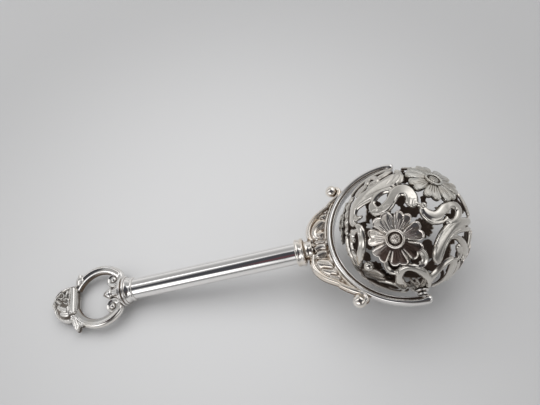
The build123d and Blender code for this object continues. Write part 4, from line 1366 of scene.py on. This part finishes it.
def make_crown():
    grid, triangles = plane_grid(-128.2, -113.8, -12.6, 10.6, 0.12)
    plate = outline_field(grid, CROWN_OUTLINE)
    widen = {"leaf": 1.5, "eye": 1.05}
    strands = [flat_strand(kind, height, stations, widen.get(name.split("_")[0], 1.2))
               for name, kind, height, stations in CROWN]
    field, height, bright = carve(grid, strands, blend=0.08, crease=0.8)
    height = smoothed(np.maximum(height, domed(plate, 0.4, 0.55)), triangles, 1)
    bright = smoothed(bright, triangles, 1)
    swell = domed(plate, 3.2, 1.0)
    part = Part()
    add_two_sided(part, grid, triangles, np.maximum(field, plate),
                  0.15 + height * 1.45 + swell, bright)
    part.make("crown_look", "crown", "crown_finial", slot="silver_toned")


# ------------------------------------------------------------------ loose bell inside the ball
BELL_R, BELL_WALL, PEA_R = 5.5, 0.5, 1.5
DOWN = np.array([-SIN, 0, -COS])                  # straight down in the row frame
BELL_X = np.array([0, 1.0, 0])
BELL_Y = np.cross(DOWN, BELL_X)
BELL_CENTRE = DOWN * (SHEET_R - BELL_R - 0.2)


def make_bell():
    rows, columns = 26, 72
    turn = 2 * np.pi * np.arange(columns)[:, None] / columns
    around = BELL_X * np.cos(turn) + BELL_Y * np.sin(turn)
    for name, start, end, seam_side in (("bell_lower", 0.02, math.pi / 2, 1),
                                        ("bell_upper", math.pi / 2, math.pi - 0.02, -1)):
        polar = np.linspace(start, end, rows)[:, None, None]
        shell = (DOWN * np.cos(polar) + around * np.sin(polar)).reshape(-1, 3)
        faces = []
        for face in tube_faces(rows, columns):
            centre = BELL_R * shell[list(face)].mean(0)
            x, y = abs(centre @ BELL_X), centre @ BELL_Y
            slot = (abs(y) < 0.45 and x < 3.6) or math.hypot(x - 3.3, y) < 0.85
            if not (name == "bell_lower" and centre @ DOWN > 1.2 and slot):
                faces.append(face)
        part = Part()
        part.add(BELL_CENTRE + BELL_R * shell, faces, 0.8)
        part.add(BELL_CENTRE + (BELL_R - BELL_WALL) * shell, [f[::-1] for f in faces], 0.2)
        roll = np.linspace(0, 2 * math.pi, 10, endpoint=False)[:, None]
        seam = (BELL_CENTRE + around[:, None] * (BELL_R + 0.12 + 0.38 * np.cos(roll))
                + DOWN * (seam_side * 0.21 + 0.19 * np.sin(roll)))
        part.add(seam, tube_faces(columns, len(roll), closed=True), 0.6)
        part.make(name + "_look", "dull", name, "bell", "silver_dull")
    part = Part()
    pea_centre = BELL_CENTRE + DOWN * (BELL_R - BELL_WALL - PEA_R - 0.1)
    part.add(*sphere(pea_centre, PEA_R, 16), 0.8)
    part.make("bell_pea_look", "dull", "bell_pea", "pea", "silver_dull")


# ------------------------------------------------------------------ stage, light and camera
def table_material():
    """Pale grey, faintly uneven, with a painted pool of light: darker away from the rattle."""
    material = bpy.data.materials.new("table")
    material.use_nodes = True
    shader = Shader(material.node_tree)
    grey, uneven = (0.62, 0.62, 0.623), 0.012
    noise = shader.node("ShaderNodeTexNoise", {"Scale": 6.0}).outputs["Fac"]
    colour = shader.ramp(noise, [(0.0, tuple(c * (1 - uneven) for c in grey)),
                                 (1.0, tuple(c * (1 + uneven) for c in grey))])
    place = shader.node("ShaderNodeNewGeometry").outputs["Position"]
    distance = shader.node("ShaderNodeVectorMath", {0: place, 1: (0.0, 0.010, 0.0)},
                           operation="DISTANCE").outputs["Value"]
    # painted pool of light: the colour falls to 0.72 of itself away from the rattle
    painted_falloff = shader.node("ShaderNodeMapRange", {
        "Value": distance, "From Min": 0.02, "From Max": 0.16, "To Min": 1.0, "To Max": 0.72,
    }, interpolation_type="SMOOTHSTEP").outputs[0]
    painted_floor_colour = shader.node("ShaderNodeVectorMath", {0: colour, "Scale": painted_falloff}, operation="SCALE")
    surface = material.node_tree.nodes["Principled BSDF"]
    surface.inputs["Roughness"].default_value = 0.8
    surface.inputs["Specular IOR Level"].default_value = 0.25
    material.node_tree.links.new(painted_floor_colour.outputs[0], surface.inputs["Base Color"])
    return material


def make_floor():
    """A square 3 m a side, its corners on the axes."""
    material = table_material()
    corner = 3.0 / math.sqrt(2)
    mesh = bpy.data.meshes.new("floor")
    corners = [(0, -corner, 0), (corner, 0, 0), (0, corner, 0), (-corner, 0, 0)]
    mesh.from_pydata(corners, [], [(0, 1, 2, 3)])
    floor = bpy.data.objects.new("floor", mesh)
    bpy.context.scene.collection.objects.link(floor)
    mesh.materials.append(material)


def make_camera():
    place = (-16.27, -68.33, 155.91)                 # handle frame, mm
    # image right, image down and view direction, handle frame
    axes = np.array([[0.963, -0.128, -0.237], [-0.227, -0.859, -0.458], [-0.145, 0.495, -0.857]])
    left, _, right = np.linalg.svd(axes)             # the nearest true rotation
    axes = tilt(left @ right)
    camera = bpy.data.cameras.new("camera")
    camera.sensor_width = 36.0
    camera.lens = 33.574667
    camera.clip_start = 0.01
    made = bpy.data.objects.new("camera", camera)
    bpy.context.scene.collection.objects.link(made)
    matrix = np.eye(4)
    matrix[:3, :3] = np.stack([axes[0], -axes[1], -axes[2]], 1)
    matrix[:3, 3] = to_row(place)[0]
    made.matrix_world = Matrix(matrix.tolist())
    bpy.context.scene.camera = made


def area_light(name, location, aim, size, power):
    """Lights the table only: the silver shows the room instead."""
    light = bpy.data.lights.new(name, "AREA")
    light.shape = "RECTANGLE"
    light.size, light.size_y = size
    light.energy = power
    light.color = (1, 1, 1)
    made = bpy.data.objects.new(name, light)
    bpy.context.scene.collection.objects.link(made)
    made.location = location
    view = Vector(aim) - Vector(location)
    made.rotation_euler = view.to_track_quat("-Z", "Y").to_euler()
    made.visible_glossy = False


# The room as the silver shows it, in the handle frame.
# Brightness by angle about X: degrees from +Z towards +Y, grey.
ROOM = [
    (-180, 0.30), (-100, 0.20), (-90, 0.14), (-84, 0.22), (-78, 0.42), (-70, 0.80),
    (-62, 1.05), (-50, 0.95), (-40, 0.62), (-25, 0.42), (-5, 0.40), (4, 0.55), (10, 0.62),
    (20, 0.55), (28, 0.42), (38, 0.38), (48, 0.42), (58, 0.56), (70, 0.74), (84, 0.82),
    (96, 0.66), (120, 0.5), (180, 0.30),
]
# Things in the room: centre angle, centre along X, half angle, half size along X, softness,
# power (2 an ellipse, 1 a rhombus), strength, colour.
THINGS = [
    (30, 0.52, 32, 0.34, 0.5, 2.0, 0.9, (1.55, 1.55, 1.56)),          # window towards +X
    (14, -0.62, 5.5, 0.42, 0.35, 2.0, 0.95, (1.9, 1.9, 1.95)),        # strip lamp
    (-58, -0.50, 14, 0.30, 0.40, 2.0, 0.85, (2.0, 2.0, 2.02)),        # window towards -X
    (-21, 0.10, 46, 0.69, 0.14, 1.0, 0.97, (0.050, 0.051, 0.060)),    # person
    (-54, 0.14, 26, 0.28, 0.30, 2.0, 0.90, (0.070, 0.062, 0.058)),    # the same person, lower
    (-34, -0.15, 9, 0.07, 0.5, 2.0, 0.55, (0.16, 0.05, 0.06)),        # dark red on the person
]


def make_world():
    world = bpy.data.worlds.new("studio")
    bpy.context.scene.world = world
    world.use_nodes = True
    world.node_tree.nodes.clear()
    shader = Shader(world.node_tree)
    node, calc = shader.node, shader.calc
    generated = node("ShaderNodeTexCoord").outputs["Generated"]
    row_x, row_y, row_z = node("ShaderNodeSeparateXYZ", {0: generated}).outputs
    x = calc("ADD", calc("MULTIPLY", row_x, COS), calc("MULTIPLY", row_z, SIN))
    z = calc("SUBTRACT", calc("MULTIPLY", row_z, COS), calc("MULTIPLY", row_x, SIN))
    angle = calc("MULTIPLY", calc("ARCTAN2", row_y, z), 180 / math.pi)

    def away(value, centre, half, power):
        offset = calc("DIVIDE", calc("SUBTRACT", value, centre), half)
        return calc("POWER", calc("ABSOLUTE", offset), power)

    stops = [((degrees + 180) / 360, (grey * 0.995, grey, grey * 1.005))
             for degrees, grey in ROOM]
    share = calc("DIVIDE", calc("ADD", angle, 180.0), 360.0)
    colour = shader.ramp(share, stops, "EASE")
    for mid_angle, mid_x, half_angle, half_x, soft, power, strength, tint in THINGS:
        total = calc("ADD", away(angle, mid_angle, half_angle, power),
                     away(x, mid_x, half_x, power))
        inside = node("ShaderNodeMapRange", {
            "Value": calc("POWER", total, 1.0 / power),
            "From Min": 1 + soft, "From Max": 1 - soft,
        }, interpolation_type="SMOOTHSTEP").outputs[0]
        colour = shader.mix(calc("MULTIPLY", inside, strength), colour, (*tint, 1))

    room = node("ShaderNodeBackground", {0: colour}).outputs[0]
    plain = node("ShaderNodeBackground", {0: (0.47, 0.47, 0.474, 1)}).outputs[0]
    glossy = node("ShaderNodeLightPath").outputs["Is Glossy Ray"]
    seen = node("ShaderNodeMixShader", {0: glossy, 1: plain, 2: room}).outputs[0]
    node("ShaderNodeOutputWorld", {0: seen})
    world.cycles.sampling_method = "MANUAL"
    world.cycles.sample_map_resolution = 512


make_openwork()
make_flowers()
make_pivots()
make_fork_band()
make_bracket()
make_knobs()
make_handle()
make_ring()
make_crown()
make_bell()

make_floor()
make_camera()
area_light("key", location=(-0.05, 0.26, 0.62), aim=(0.0, 0, 0.01), size=(0.95, 0.60), power=3.3)
area_light("fill", location=(-0.45, 0.0, 0.60), aim=(0, 0, 0.01), size=(0.8, 0.8), power=1.3)
make_world()

scene = bpy.context.scene
scene.view_settings.view_transform = "Standard"
scene.view_settings.look = "None"
scene.cycles.max_bounces = 10
scene.cycles.glossy_bounces = 8
